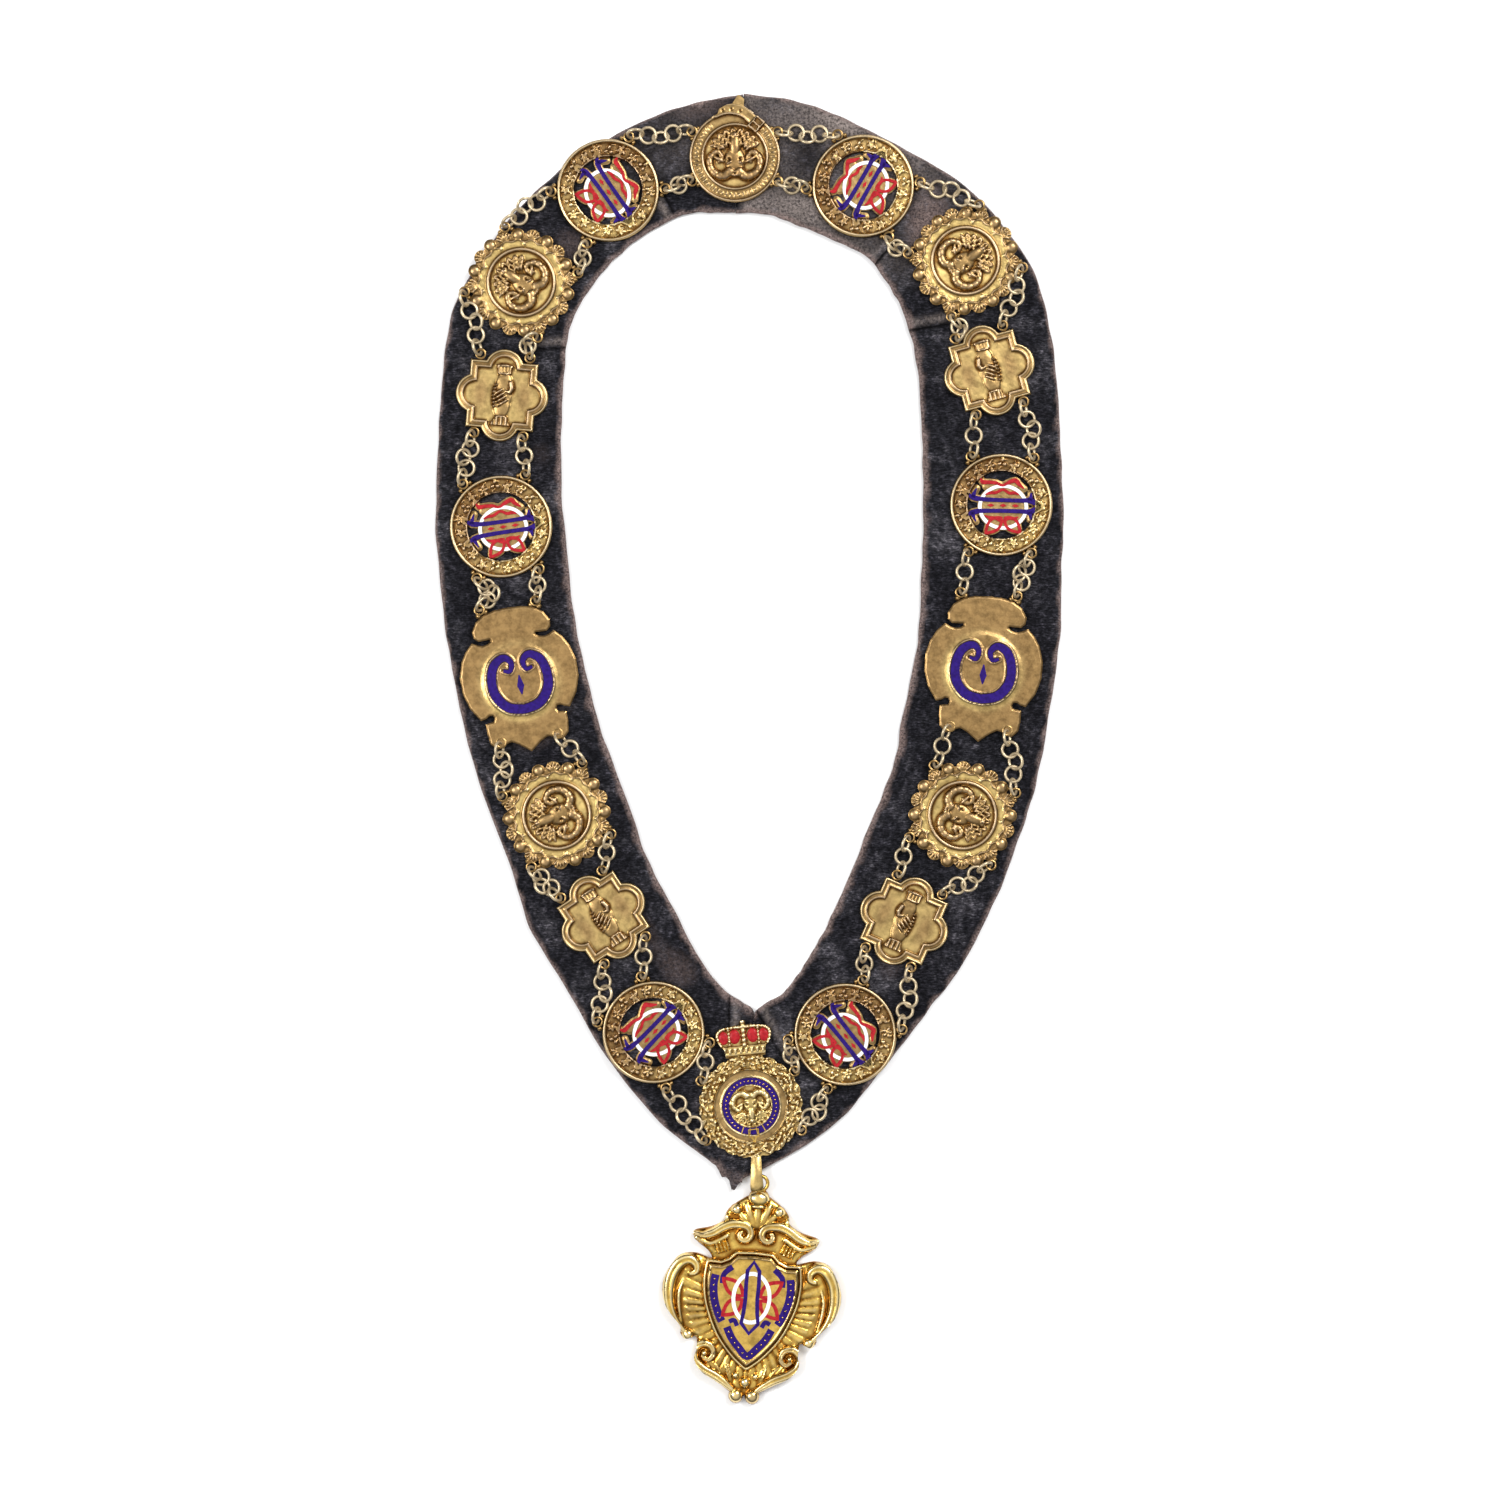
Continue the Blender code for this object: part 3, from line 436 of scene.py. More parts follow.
def velvet_material():
    """Worn black velvet: clouded pile, rubbed at its rims, grey where faded, painted highlight on the
    folds' lips, painted shade along the folds.
    """
    material, shade, inputs = start_material("worn black velvet")
    colour = shade.blend("MULTIPLY", 1.0, shade.layer(*PILE_CLOUD), shade.layer(*PILE_SMUDGE))
    colour = shade.blend("MULTIPLY", 1.0, colour, shade.layer(*PILE_SPECK))
    # Grey where the velvet is faded, and as a painted highlight on the folds' lips
    colour = shade.blend("MIX", shade.attribute("fade_and_lip_highlight"), colour, shade.layer(*PILE_GREY))
    colour = shade.blend("MIX", shade.attribute("wear"), colour, shade.layer(*PILE_BROWN))
    # Painted shade along the folds
    painted_fold_shade = shade.ramp(shade.attribute("painted_fold_shade"), PAINTED_FOLD_SHADE)
    shade.link(shade.blend("MULTIPLY", 1.0, colour, painted_fold_shade), inputs["Base Color"])
    for name, value in (("Roughness", 0.95), ("Specular IOR Level", 0.08), ("Sheen Weight", 0.16),
                        ("Sheen Roughness", 0.35), ("Sheen Tint", (0.8, 0.75, 0.78, 1))):
        inputs[name].default_value = value
    nap = ((shade.texture(2200, 2), 0.6, 0.0005), (shade.texture(200, 4), 0.7, 0.0025))
    shade.link(shade.bump(nap), inputs["Normal"])
    return material


def floor_material():
    material, shade, inputs = start_material("white paper")
    shade.link(shade.layer(*PAPER), inputs["Base Color"])
    inputs["Roughness"].default_value = 0.9
    return material


# Meshes

def smooth(meshes, materials, crease):
    """Gives meshes their materials and a soft shading with sharp edges past the crease."""
    for mesh in meshes:
        for material in materials:
            mesh.materials.append(material)
        mesh.shade_smooth()
        mesh.set_sharp_from_angle(angle=math.radians(crease))


def placed(name, mesh, matrix):
    item = bpy.data.objects.new(name, mesh)
    item.matrix_world = matrix
    bpy.context.scene.collection.objects.link(item)
    return item


def finished(name, mesh, materials, matrix=Matrix(), crease=PIECE_CREASE):
    smooth([mesh], materials, crease)
    return placed(name, mesh, matrix)


def set_values(mesh, name, values):
    layer = mesh.attributes.new(name, "FLOAT", "POINT")
    layer.data.foreach_set("value", np.asarray(values, np.float32))


class Shape:
    """Vertices (millimetres) and faces gathered from many small solids."""

    def __init__(self):
        self.points = []
        self.faces = []
        self.marks = []

    def add(self, points, faces, mark=0):
        start = len(self.points)
        self.points.extend(tuple(p) for p in points)
        self.faces.extend(tuple(start + i for i in face) for face in faces)
        self.marks.extend([mark] * len(faces))

    def mesh(self, name, tint=SHAPE_TINT):
        mesh = bpy.data.meshes.new(name)
        points = [(x * MM, y * MM, z * MM) for x, y, z in self.points]
        mesh.from_pydata(points, [], self.faces)
        mesh.polygons.foreach_set("material_index", self.marks)
        set_values(mesh, "relief", [SHAPE_RELIEF] * len(points))
        set_values(mesh, "tint", [tint] * len(points))
        return mesh


def grid_faces(rows, columns, wrap_columns=False, wrap_rows=False):
    """Quads of a grid of points, closed around its columns or along its rows if asked."""
    faces = []
    for i in range(rows if wrap_rows else rows - 1):
        for j in range(columns if wrap_columns else columns - 1):
            a = i * columns + j
            b = i * columns + (j + 1) % columns
            c = (i + 1) % rows * columns + (j + 1) % columns
            d = (i + 1) % rows * columns + j
            faces.append((a, b, c, d))
    return faces


def add_torus(shape, centre, ahead, side, radius, wire, steps=24, sides=8):
    """A round wire ring in the plane of two directions."""
    normal = ahead.cross(side)
    points = []
    for i in range(steps):
        turn = math.tau * i / steps
        out = ahead * math.cos(turn) + side * math.sin(turn)
        for k in range(sides):
            angle = -math.tau * k / sides
            points.append(centre + out * (radius + wire * math.cos(angle))
                          + normal * wire * math.sin(angle))
    shape.add(points, grid_faces(steps, sides, True, True))


def add_ball(shape, centre, radii, steps=12, rows=6, mark=0):
    """An upper half of an egg-shaped boss, with its foot at the centre's height."""
    points = []
    for i in range(rows):
        rise = math.pi / 2 * i / rows
        for k in range(steps):
            turn = math.tau * k / steps
            points.append((centre[0] + radii[0] * math.cos(rise) * math.cos(turn),
                           centre[1] + radii[1] * math.cos(rise) * math.sin(turn),
                           centre[2] + radii[2] * math.sin(rise)))
    points.append((centre[0], centre[1], centre[2] + radii[2]))
    faces = grid_faces(rows, steps, True)
    last = (rows - 1) * steps
    faces.extend((last + k, last + (k + 1) % steps, len(points) - 1) for k in range(steps))
    shape.add(points, faces, mark)


def add_ribbon(shape, route, widths, low, high, mark=0, closed=False):
    """A flat band along a route, raised from low to high."""
    count = len(route)
    if not hasattr(widths, "__len__"):
        widths = [widths] * count
    rows = []
    for i, (x, y) in enumerate(route):
        if closed:
            before, after = route[i - 1], route[(i + 1) % count]
        else:
            before, after = route[max(i - 1, 0)], route[min(i + 1, count - 1)]
        ahead = Vector((after[0] - before[0], after[1] - before[1])).normalized()
        dx, dy = -ahead.y * widths[i] / 2, ahead.x * widths[i] / 2
        rows.append((x + dx, y + dy, low))
        rows.append((x + 0.86 * dx, y + 0.86 * dy, high))
        rows.append((x - 0.86 * dx, y - 0.86 * dy, high))
        rows.append((x - dx, y - dy, low))
    faces = []
    for i in range(count if closed else count - 1):
        j = (i + 1) % count
        for k in range(3):
            faces.append((4 * i + k, 4 * i + k + 1, 4 * j + k + 1, 4 * j + k))
    if not closed:
        faces.append((0, 3, 2, 1))
        faces.append(tuple(4 * (count - 1) + k for k in range(4)))
    shape.add(rows, faces, mark)


# Relief drawing: heights over a plane, in millimetres

def highest(*forms):
    """The highest of several reliefs at each place."""
    result = forms[0]
    for form in forms[1:]:
        result = np.maximum(result, form)
    return result


def rounded(reach):
    """A quarter circle's height over the square of a reach from 0 to 1, and none beyond."""
    return np.sqrt(np.clip(1 - reach, 0, None))


def dome(x, y, cx, cy, radius, height):
    return height * rounded(((x - cx) ** 2 + (y - cy) ** 2) / radius ** 2)


def ring(x, y, radius, half, height):
    return height * rounded(((np.hypot(x, y) - radius) / half) ** 2)


def egg(x, y, cx, cy, turn, length, width, height):
    c, s = math.cos(turn), math.sin(turn)
    along = ((x - cx) * c + (y - cy) * s) / length
    across = ((y - cy) * c - (x - cx) * s) / width
    return height * rounded(along ** 2 + across ** 2)


def leaf(x, y, cx, cy, turn, length, width, height):
    """A pointed leaf with a middle rib, from its stalk at the centre outwards."""
    c, s = math.cos(turn), math.sin(turn)
    along = ((x - cx) * c + (y - cy) * s) / length
    across = (y - cy) * c - (x - cx) * s
    half = width / 2 * np.sin(math.pi * np.clip(along, 0, 1) ** 0.8)
    share = np.abs(across) / np.maximum(half, 0.01)
    body = rounded(share ** 2) * (along > 0) * (along < 1)
    groove = 1 - 0.35 * np.exp(-(across / (0.1 * width)) ** 2)
    return height * body * groove


def segment(x, y, a, b):
    """Distance to a line from a to b, and the place along it from 0 to 1."""
    dx, dy = b[0] - a[0], b[1] - a[1]
    t = np.clip(((x - a[0]) * dx + (y - a[1]) * dy) / max(dx * dx + dy * dy, 1e-9), 0, 1)
    return np.hypot(x - a[0] - t * dx, y - a[1] - t * dy), t


def cord_relief(x, y, route, radii, height):
    """A rounded strand along a route, with a radius at each of its points."""
    result = np.zeros_like(x)
    top = max(radii)
    for a, b, ra, rb in zip(route, route[1:], radii, radii[1:]):
        distance, t = segment(x, y, a, b)
        radius = ra + (rb - ra) * t
        strand = rounded((distance / radius) ** 2) * radius / top
        result = np.maximum(result, height * strand)
    return result


def distance_to(x, y, route):
    result = np.full_like(x, 1e3)
    for a, b in zip(route, route[1:]):
        result = np.minimum(result, segment(x, y, a, b)[0])
    return result


def polygon_distance(x, y, points):
    """Distance outside a closed outline, negative inside."""
    inside = np.zeros(x.shape, bool)
    for (ax, ay), (bx, by) in zip(points, points[1:] + points[:1]):
        if ay != by:
            crosses = (ay > y) != (by > y)
            inside ^= crosses & (x < (bx - ax) * (y - ay) / (by - ay) + ax)
    distance = distance_to(x, y, points + points[:1])
    return np.where(inside, -distance, distance)


def spiral(centre, start, sweep, radii, steps=22):
    """Points of a curl around a centre. Angles in degrees."""
    points = []
    for i in range(steps):
        t = i / (steps - 1)
        angle = math.radians(start + sweep * t)
        radius = radii[0] + (radii[1] - radii[0]) * t
        points.append((centre[0] + radius * math.cos(angle), centre[1] + radius * math.sin(angle)))
    return points


def curve_through(points, steps=6):
    """A smooth route through points."""
    route = []
    last = len(points) - 1
    for i in range(last):
        a, b, c, d = (np.array(points[min(max(i + k, 0), last)], float) for k in (-1, 0, 1, 2))
        for s in range(steps):
            t = s / steps
            route.append(tuple(b + ((c - a) * t + (2 * a - 5 * b + 4 * c - d) * t * t
                                    + (3 * b - a - 3 * c + d) * t ** 3) / 2))
    route.append(tuple(points[-1]))
    return route


def around(radius, share):
    """A place on a circle, at a share of its turn."""
    return radius * math.cos(math.tau * share), radius * math.sin(math.tau * share)


def fade_step(value, start, end):
    t = np.clip((value - start) / (end - start), 0, 1)
    return t * t * (3 - 2 * t)


def smeared(values, reach):
    """The mean of each grid value's neighbourhood."""
    total = values
    for axis in (0, 1):
        total = sum(np.roll(total, k, axis) for k in range(-reach, reach + 1)) / (2 * reach + 1)
    return total


def onto_edge(x, y, outline, outside, touched, cell):
    """The grid with the rim points of its kept cells moved onto the outline."""
    step = 0.1 * cell
    gx = (outline(x + step, y) - outline(x - step, y)) / (2 * step)
    gy = (outline(x, y + step) - outline(x, y - step)) / (2 * step)
    steep = np.maximum(gx ** 2 + gy ** 2, 0.05)
    shift = np.where((touched > 0) & (touched < 4), np.clip(outside, -cell, cell), 0)
    return x - shift * gx / steep, y - shift * gy / steep


def wall_faces(keep, index, count):
    """Walls from the rim of the kept cells down to their feet."""
    padded = np.zeros((keep.shape[0] + 2, keep.shape[1] + 2), bool)
    padded[1:-1, 1:-1] = keep
    sides = ((padded[1:-1, :-2], (0, 0), (1, 0)), (padded[2:, 1:-1], (1, 0), (1, 1)),
             (padded[1:-1, 2:], (1, 1), (0, 1)), (padded[:-2, 1:-1], (0, 1), (0, 0)))
    faces = []
    for beyond, a, b in sides:
        i, j = np.nonzero(keep & ~beyond)
        starts = index[i + a[0], j + a[1]].tolist()
        ends = index[i + b[0], j + b[1]].tolist()
        faces.extend((q, p, p + count, q + count) for p, q in zip(starts, ends))
    return faces


def relief_mesh(name, outline, height, tint, size, cell, low, back=False):
    """A plate cut to an outline, with a drawn relief on top and walls down to its foot."""
    left, right, bottom, top = size
    x, y = np.meshgrid(np.arange(left, right + cell, cell), np.arange(bottom, top + cell, cell),
                       indexing="ij")
    outside = outline(x, y)
    near = outside < 0.55 * cell
    keep = near[:-1, :-1] & near[1:, :-1] & near[1:, 1:] & near[:-1, 1:]
    touched = np.zeros(x.shape, int)
    for i in (0, 1):
        for j in (0, 1):
            touched[i:touched.shape[0] - 1 + i, j:touched.shape[1] - 1 + j] += keep
    flat_heights = height(x, y)
    x, y = onto_edge(x, y, outline, outside, touched, cell)
    heights = np.where(touched < 4, height(x, y), flat_heights)
    # Height over the neighbourhood, which sets the metal's painted shade in hollows and painted highlight
    # on high places
    relief = RELIEF_MIDDLE + (heights - smeared(flat_heights, 4)) / RELIEF_REACH
    used = touched > 0
    index = np.full(x.shape, -1)
    count = int(used.sum())
    index[used] = np.arange(count)
    points = np.stack([x[used], y[used], heights[used]], 1)
    feet = points.copy()
    feet[:, 2] = low
    quads = (index[:-1, :-1][keep], index[1:, :-1][keep], index[1:, 1:][keep], index[:-1, 1:][keep])
    faces = list(zip(*(q.tolist() for q in quads)))
    if back:
        faces.extend(tuple(count + i for i in reversed(face)) for face in faces[:])
    faces.extend(wall_faces(keep, index, count))
    mesh = bpy.data.meshes.new(name)
    mesh.from_pydata((np.concatenate([points, feet]) * MM).tolist(), [], faces)
    # Values for painted shade and highlight; the feet of the walls get painted shade
    painted_light_values = np.clip(relief[used], 0, 1)
    set_values(mesh, "relief", np.concatenate([painted_light_values, np.full(count, FOOT_RELIEF)]))
    set_values(mesh, "tint", np.tile(tint(x, y)[used], 2))
    if not back:
        drop_loose(mesh, range(count, 2 * count))
    return mesh


def drop_loose(mesh, candidates):
    """Takes out the feet that no wall uses."""
    shape = bmesh.new()
    shape.from_mesh(mesh)
    shape.verts.ensure_lookup_table()
    loose = [shape.verts[i] for i in candidates if not shape.verts[i].link_faces]
    bmesh.ops.delete(shape, geom=loose, context="VERTS")
    shape.to_mesh(mesh)
    shape.free()


# Outlines of the plates: distance outside, negative inside

def polar_distance(x, y, radius_at):
    return np.hypot(x, y) - radius_at(np.arctan2(y, x))


def scallop_radius(angle):
    return 21.9 + 0.3 * np.cos(20 * angle)


def quatrefoil_edge(x, y):
    result = np.maximum(np.abs(x), np.abs(y)) - QUATREFOIL_HALF_SIDE
    for cx, cy in ((1, 0), (-1, 0), (0, 1), (0, -1)):
        lobe = np.hypot(x - cx * QUATREFOIL_OFFSET, y - cy * QUATREFOIL_OFFSET) - QUATREFOIL_LOBE
        result = np.minimum(result, lobe)
    return result


def quatrefoil_radius(angle):
    quarter = (angle + math.pi / 4) % (math.pi / 2) - math.pi / 4
    straight = QUATREFOIL_HALF_SIDE / math.cos(quarter)
    chord = QUATREFOIL_LOBE ** 2 - (QUATREFOIL_OFFSET * math.sin(quarter)) ** 2
    return max(straight, QUATREFOIL_OFFSET * math.cos(quarter) + math.sqrt(max(chord, 0)))


def cartouche_radius(angle):
    from_top = abs((math.degrees(angle) - 90 + 180) % 360 - 180)
    for (a, low), (b, high) in zip(CARTOUCHE_OUTLINE, CARTOUCHE_OUTLINE[1:]):
        if a <= from_top <= b:
            return CARTOUCHE_LENGTH * (low + (high - low) * (from_top - a) / (b - a))
    return CARTOUCHE_LENGTH * CARTOUCHE_OUTLINE[-1][1]


def centre_radius(angle):
    return CENTRE_RADIUS * (0.965 + 0.035 * np.abs(np.cos(12 * angle)))


def lug_radius(form, angle):
    """The plate's radius at an eyelet, by the part's own rule."""
    if form == "knot":
        return KNOT_RADIUS
    if form == "scallop":
        return SCALLOP_RADIUS * (0.965 + 0.035 * abs(math.cos(10 * angle)))
    if form == "quatrefoil":
        return quatrefoil_radius(angle)
    if form == "cartouche":
        return cartouche_radius(angle)
    if form == "top":
        return TOP_RADIUS
    return CENTRE_RADIUS * (0.97 + 0.03 * abs(math.cos(8 * angle)))


def lug_places(form):
    upper, lower, reach = LUG_SETTING[form]
    places = {}
    for level, turn in (("upper", upper), ("lower", 180 - lower)):
        for side in (-1, 1):
            angle = math.radians(90 - side * turn)
            radius = lug_radius(form, angle) + reach * LUG_REACH
            places[level, side] = Vector((radius * math.cos(angle), radius * math.sin(angle), 0))
    return places


# Cast reliefs

# Leaf band of the pierced discs: number of large leaves and of sprigs, radii of their rows
BAND_LEAVES = 20
BAND_SPRIGS = 40
BAND_ROW = 18.1
SPRIG_ROWS = (16.3, 20.1)
KNOT_LEVEL = 4.6


def cast_grain(x, y, height, scale):
    """The small unevenness of a cast surface."""
    first = np.sin(x * scale + 1.7 * np.sin(y * scale * 0.7)) * np.sin(y * scale * 1.1 + 0.6)
    second = np.sin(x * scale * 2.3 + 2.0) * np.sin(y * scale * 2.1 + np.sin(x * scale))
    return height * (first + 0.5 * second)


def flower(x, y, cx, cy, radius, height, turn):
    result = dome(x, y, cx, cy, 0.3 * radius, height)
    for i in range(5):
        angle = turn + math.tau * i / 5
        px, py = cx + 0.6 * radius * math.cos(angle), cy + 0.6 * radius * math.sin(angle)
        petal = egg(x, y, px, py, angle, 0.42 * radius, 0.34 * radius, 0.85 * height)
        result = np.maximum(result, petal)
    return result


def star_leaf(x, y, cx, cy, radius, height, turn):
    return highest(*(leaf(x, y, cx, cy, turn + 1.05 * (k - 2), radius, 0.62 * radius, height)
                     for k in range(5)))


def round_leaves(x, y, cx, cy, turn):
    leaves = []
    for k in range(3):
        at = turn + math.tau * k / 3
        leaves.append(egg(x, y, cx + 1.3 * math.cos(at), cy + 1.3 * math.sin(at), at, 1.15, 0.95, 0.9))
    return highest(*leaves)


def knot_band(x, y):
    """Flowers, round leaves and star leaves in turn between the rims."""
    dice = np.random.default_rng(SEED)
    result = np.zeros_like(x)
    for i in range(BAND_LEAVES):
        at = math.tau * i / BAND_LEAVES
        radius = BAND_ROW + 0.5 * (1 if i % 2 else -1)
        cx, cy = radius * math.cos(at), radius * math.sin(at)
        spin = at + math.pi / 2 + dice.uniform(-0.6, 0.6)
        if i % 3 == 0:
            form = flower(x, y, cx, cy, 2.5, 1.0, spin)
        elif i % 3 == 1:
            form = star_leaf(x, y, cx, cy, 2.7, 1.0, spin)
        else:
            form = round_leaves(x, y, cx, cy, spin)
        result = np.maximum(result, form)
    for i in range(BAND_SPRIGS):
        at = math.tau * (i + 0.5 + dice.uniform(-0.2, 0.2)) / BAND_SPRIGS
        radius = SPRIG_ROWS[i % 2]
        cx, cy = radius * math.cos(at), radius * math.sin(at)
        sprig = egg(x, y, cx, cy, at + dice.uniform(0.6, 2.4), 1.0, 0.45, 0.6)
        result = np.maximum(result, sprig)
    return result


# Enamelled knot: routes, and the width at each of their points
WHITE_RING = [(0.8 + 10.2 * math.cos(math.tau * i / 64), -0.9 + 9.2 * math.sin(math.tau * i / 64))
              for i in range(64)]
KNOT_BAR = ((-15.4, 4.9), (-12.4, 3.0), (-8.0, 2.3), (0.0, 2.1), (8.0, 2.1), (12.2, 2.2),
            (14.8, 1.3), (17.2, -0.3))
KNOT_BAR_WIDTHS = (0.5, 2.5, 2.1, 1.9, 2.0, 2.5, 2.5, 1.8)
KNOT_FORKS = ((((-11.0, 7.0), (-12.0, 4.9), (-12.6, 3.0)), (0.5, 1.6, 2.4)),
              (((13.0, 5.6), (12.9, 4.0), (12.4, 2.2)), (0.5, 1.7, 2.4)))
KNOT_WAVE = ((-7.2, 4.3), (-5.0, 5.2), (-2.6, 5.3), (0.6, 6.7), (3.4, 5.3), (5.6, 5.4), (7.6, 4.6))
KNOT_WAVE_WIDTHS = (0.5, 1.6, 1.5, 1.3, 1.5, 1.6, 0.5)
KNOT_CREST = ((-9.4, 11.6), (-8.4, 9.9), (-5.6, 9.8), (-2.6, 9.6), (0.4, 8.6), (3.0, 9.9), (6.0, 10.9),
              (7.6, 9.2), (9.8, 7.4))
KNOT_CREST_WIDTHS = (0.5, 2.2, 1.8, 1.6, 1.3, 1.7, 2.3, 1.9, 0.7)
KNOT_LEAVES = (((0.2, -5.6), (-6.6, -12.6), 2.5), ((1.8, -5.6), (8.6, -11.8), 2.5))
KNOT_GEMS = ((-4.6, -0.25), (0.8, -0.25), (6.2, -0.25))
KNOT_MIDDLE = -0.25
KNOT_SHOULDER = ((-6.4, 8.4), (0.4, 7.6), (5.8, 8.8))


def flipped(route):
    return tuple((x, 2 * KNOT_MIDDLE - y) for x, y in route)


def smooth_strand(route, widths, steps=4):
    """A smooth route with a width for each of its points."""
    points = curve_through(route, steps)
    places = np.linspace(0, len(route) - 1, len(points))
    return points, list(np.interp(places, range(len(route)), widths))


def knot_strands():
    """The knot's blue and red strands: mark, route, widths."""
    strands = []
    for turned in (tuple, flipped):
        strands.append((0, *smooth_strand(turned(KNOT_BAR), KNOT_BAR_WIDTHS)))
        strands.append((1, *smooth_strand(turned(KNOT_WAVE), KNOT_WAVE_WIDTHS)))
        for route, widths in KNOT_FORKS:
            strands.append((0, *smooth_strand(turned(route), widths)))
    strands.append((1, *smooth_strand(KNOT_CREST, KNOT_CREST_WIDTHS)))
    return strands


def leaf_loop(start, end, bulge):
    """A closed leaf outline from its stalk to its tip."""
    dx, dy = end[0] - start[0], end[1] - start[1]
    length = math.hypot(dx, dy)
    points = []
    for side, order in ((1, range(12)), (-1, range(12, 0, -1))):
        for i in order:
            out = side * bulge * math.sin(math.pi * (i / 12) ** 0.85) / length
            points.append((start[0] + dx * i / 12 - dy * out, start[1] + dy * i / 12 + dx * out))
    return points


def loop_points(cx, cy, rx, ry, count=32):
    return [(cx + rx * math.cos(math.tau * i / count), cy + ry * math.sin(math.tau * i / count))
            for i in range(count)]


def knot_device_edge(x, y):
    """The gilt backing of the enamelled knot, a little wider than its enamel."""
    result = np.hypot((x - 0.8) / 11.3, (y + 0.9) / 10.2) * 10.6 - 10.6
    for _, route, widths in knot_strands():
        result = np.minimum(result, distance_to(x, y, route[::2]) - max(widths) / 2 - 0.45)
    for row in KNOT_LEAVES:
        result = np.minimum(result, polygon_distance(x, y, leaf_loop(*row)) - 1.2)
    return np.minimum(result, distance_to(x, y, KNOT_SHOULDER) - 2.3)


def knot_edge(x, y):
    radius = np.hypot(x, y)
    band = np.maximum(radius - KNOT_RADIUS, KNOT_WINDOW - radius)
    return np.minimum(band, knot_device_edge(x, y))


def knot_height(x, y):
    radius = np.hypot(x, y)
    device = knot_device_edge(x, y)
    band = KNOT_LEVEL + knot_band(x, y) + cast_grain(x, y, 0.04, 3.1)
    band = np.maximum(band, KNOT_LEVEL + ring(x, y, 15.2, 0.5, 0.75))
    band = np.where(radius > 20.8, KNOT_LEVEL + ring(x, y, 21.75, 0.85, 1.1), band)
    plate = 4.55 + cast_grain(x, y, 0.03, 2.2) - 0.3 * fade_step(-device, 0.9, 0.5)
    return np.where(radius > KNOT_WINDOW, np.where(device < 0, 5.3, band), plate)


def knot_tint(x, y):
    radius = np.hypot(x, y)
    plain = 0.55 + 0.35 * np.sin(np.arctan2(y, x) + 2.4)
    return np.where(radius > 20.6, 0.62, np.where(radius > KNOT_WINDOW, plain, 0.45))


# Ram's head. Locks: row, count. Face and pits: as egg takes them, and middle and depth.
RAM_LOCKS = ((2, 17), (1, 15), (0, 13))
RAM_FACE = ((0, 1.6, math.pi / 2, 5.6, 4.0, 1.5), (0, -4.4, math.pi / 2, 5.0, 2.3, 1.9),
            (0, -8.2, 0, 2.1, 1.3, 2.0))
RAM_HORN = ((1.4, 5.4), (4.6, 7.4), (8.6, 5.4), (9.6, 0.9), (6.9, -1.9), (4.9, 0.2), (6.2, 2.0))
RAM_PITS = ((2.2, 0.9, 0.8), (0.8, -8.4, 0.6))


def ram_head(x, y, turn, size):
    """A plain ram's head, seen from the front. Its crown points to the turn."""
    c, s = math.cos(turn), math.sin(turn)
    u = (x * s - y * c) / size
    v = (x * c + y * s) / size
    result = np.zeros_like(x)
    for row, count in RAM_LOCKS:
        for i in range(count):
            at = math.radians(196 + i * 148 / (count - 1))
            cx, cy = (5.4 + 1.5 * row) * math.cos(at), (3.2 + 2.0 * row) * math.sin(at) - 2.4
            lock = egg(u, v, cx, cy, at + (0.4, -0.4)[i % 2], 1.7, 0.62, 1.35 - 0.25 * row)
            result = np.maximum(result, lock)
    result = highest(result, *(egg(u, v, *row) for row in RAM_FACE))
    for side in (-1, 1):
        horn = curve_through([(side * a, b) for a, b in RAM_HORN])
        radii = [(2.0 - 1.3 * i / len(horn)) * (0.84, 1.06, 1.06)[i % 3] for i in range(len(horn))]
        result = highest(result, cord_relief(u, v, horn, radii, 2.0),
                         egg(u, v, side * 6.0, 1.0, -side * 0.5, 2.4, 0.9, 1.2),
                         egg(u, v, side * 2.0, 2.3, side * 0.5, 1.7, 0.6, 1.9))
        for cx, cy, depth in RAM_PITS:
            result = result - depth * np.exp(-((u - side * cx) ** 2 + (v - cy) ** 2) / 0.3)
    for i in range(9):
        cx, cy = -3.6 + 0.9 * i, 6.3 + 0.8 * math.cos(0.5 * (i - 4))
        result = highest(result, dome(u, v, cx, cy, 0.8, 1.7),
                         dome(u, v, 0.62 * cx, cy - 1.3, 0.7, 1.9))
    return result


# Scallop plates: number of shells, height of the ground
SCALLOP_SHELLS = 10
SCALLOP_LEVEL = 5.1
SCALLOP_HEAD = 1.12


def scallop_wave(angle):
    return 18.5 + 0.5 * np.cos(20 * angle) + 0.3 * np.cos(10 * angle + 1)


def scallop_edge(x, y):
    result = polar_distance(x, y, scallop_radius)
    for i in range(SCALLOP_SHELLS):
        for at, radius, reach in ((i + 0.5, 20.9, 2.9), (i, 20.4, 3.3)):
            cx, cy = around(radius, at / SCALLOP_SHELLS)
            result = np.minimum(result, np.hypot(x - cx, y - cy) - reach)
    return result


def scallop_border(x, y):
    """Knobs and five-rayed shells in turn, with a curl at each side of a shell."""
    forms = [4.5 + cast_grain(x, y, 0.06, 1.4)]
    for i in range(SCALLOP_SHELLS):
        forms.append(4.3 + dome(x, y, *around(21.0, (i + 0.5) / SCALLOP_SHELLS), 2.8, 1.9))
        at = math.tau * i / SCALLOP_SHELLS
        for k in range(-2, 3):
            ray = at + 0.38 * k
            cx = 18.5 * math.cos(at) + 3.0 * math.cos(ray)
            cy = 18.5 * math.sin(at) + 3.0 * math.sin(ray)
            forms.append(4.4 + egg(x, y, cx, cy, ray, 2.2, 0.72, 1.4))
        for k in (-1, 1):
            curl = at + 0.165 * k
            forms.append(4.2 + dome(x, y, 20.1 * math.cos(curl), 20.1 * math.sin(curl), 1.0, 1.1))
    return highest(*forms)


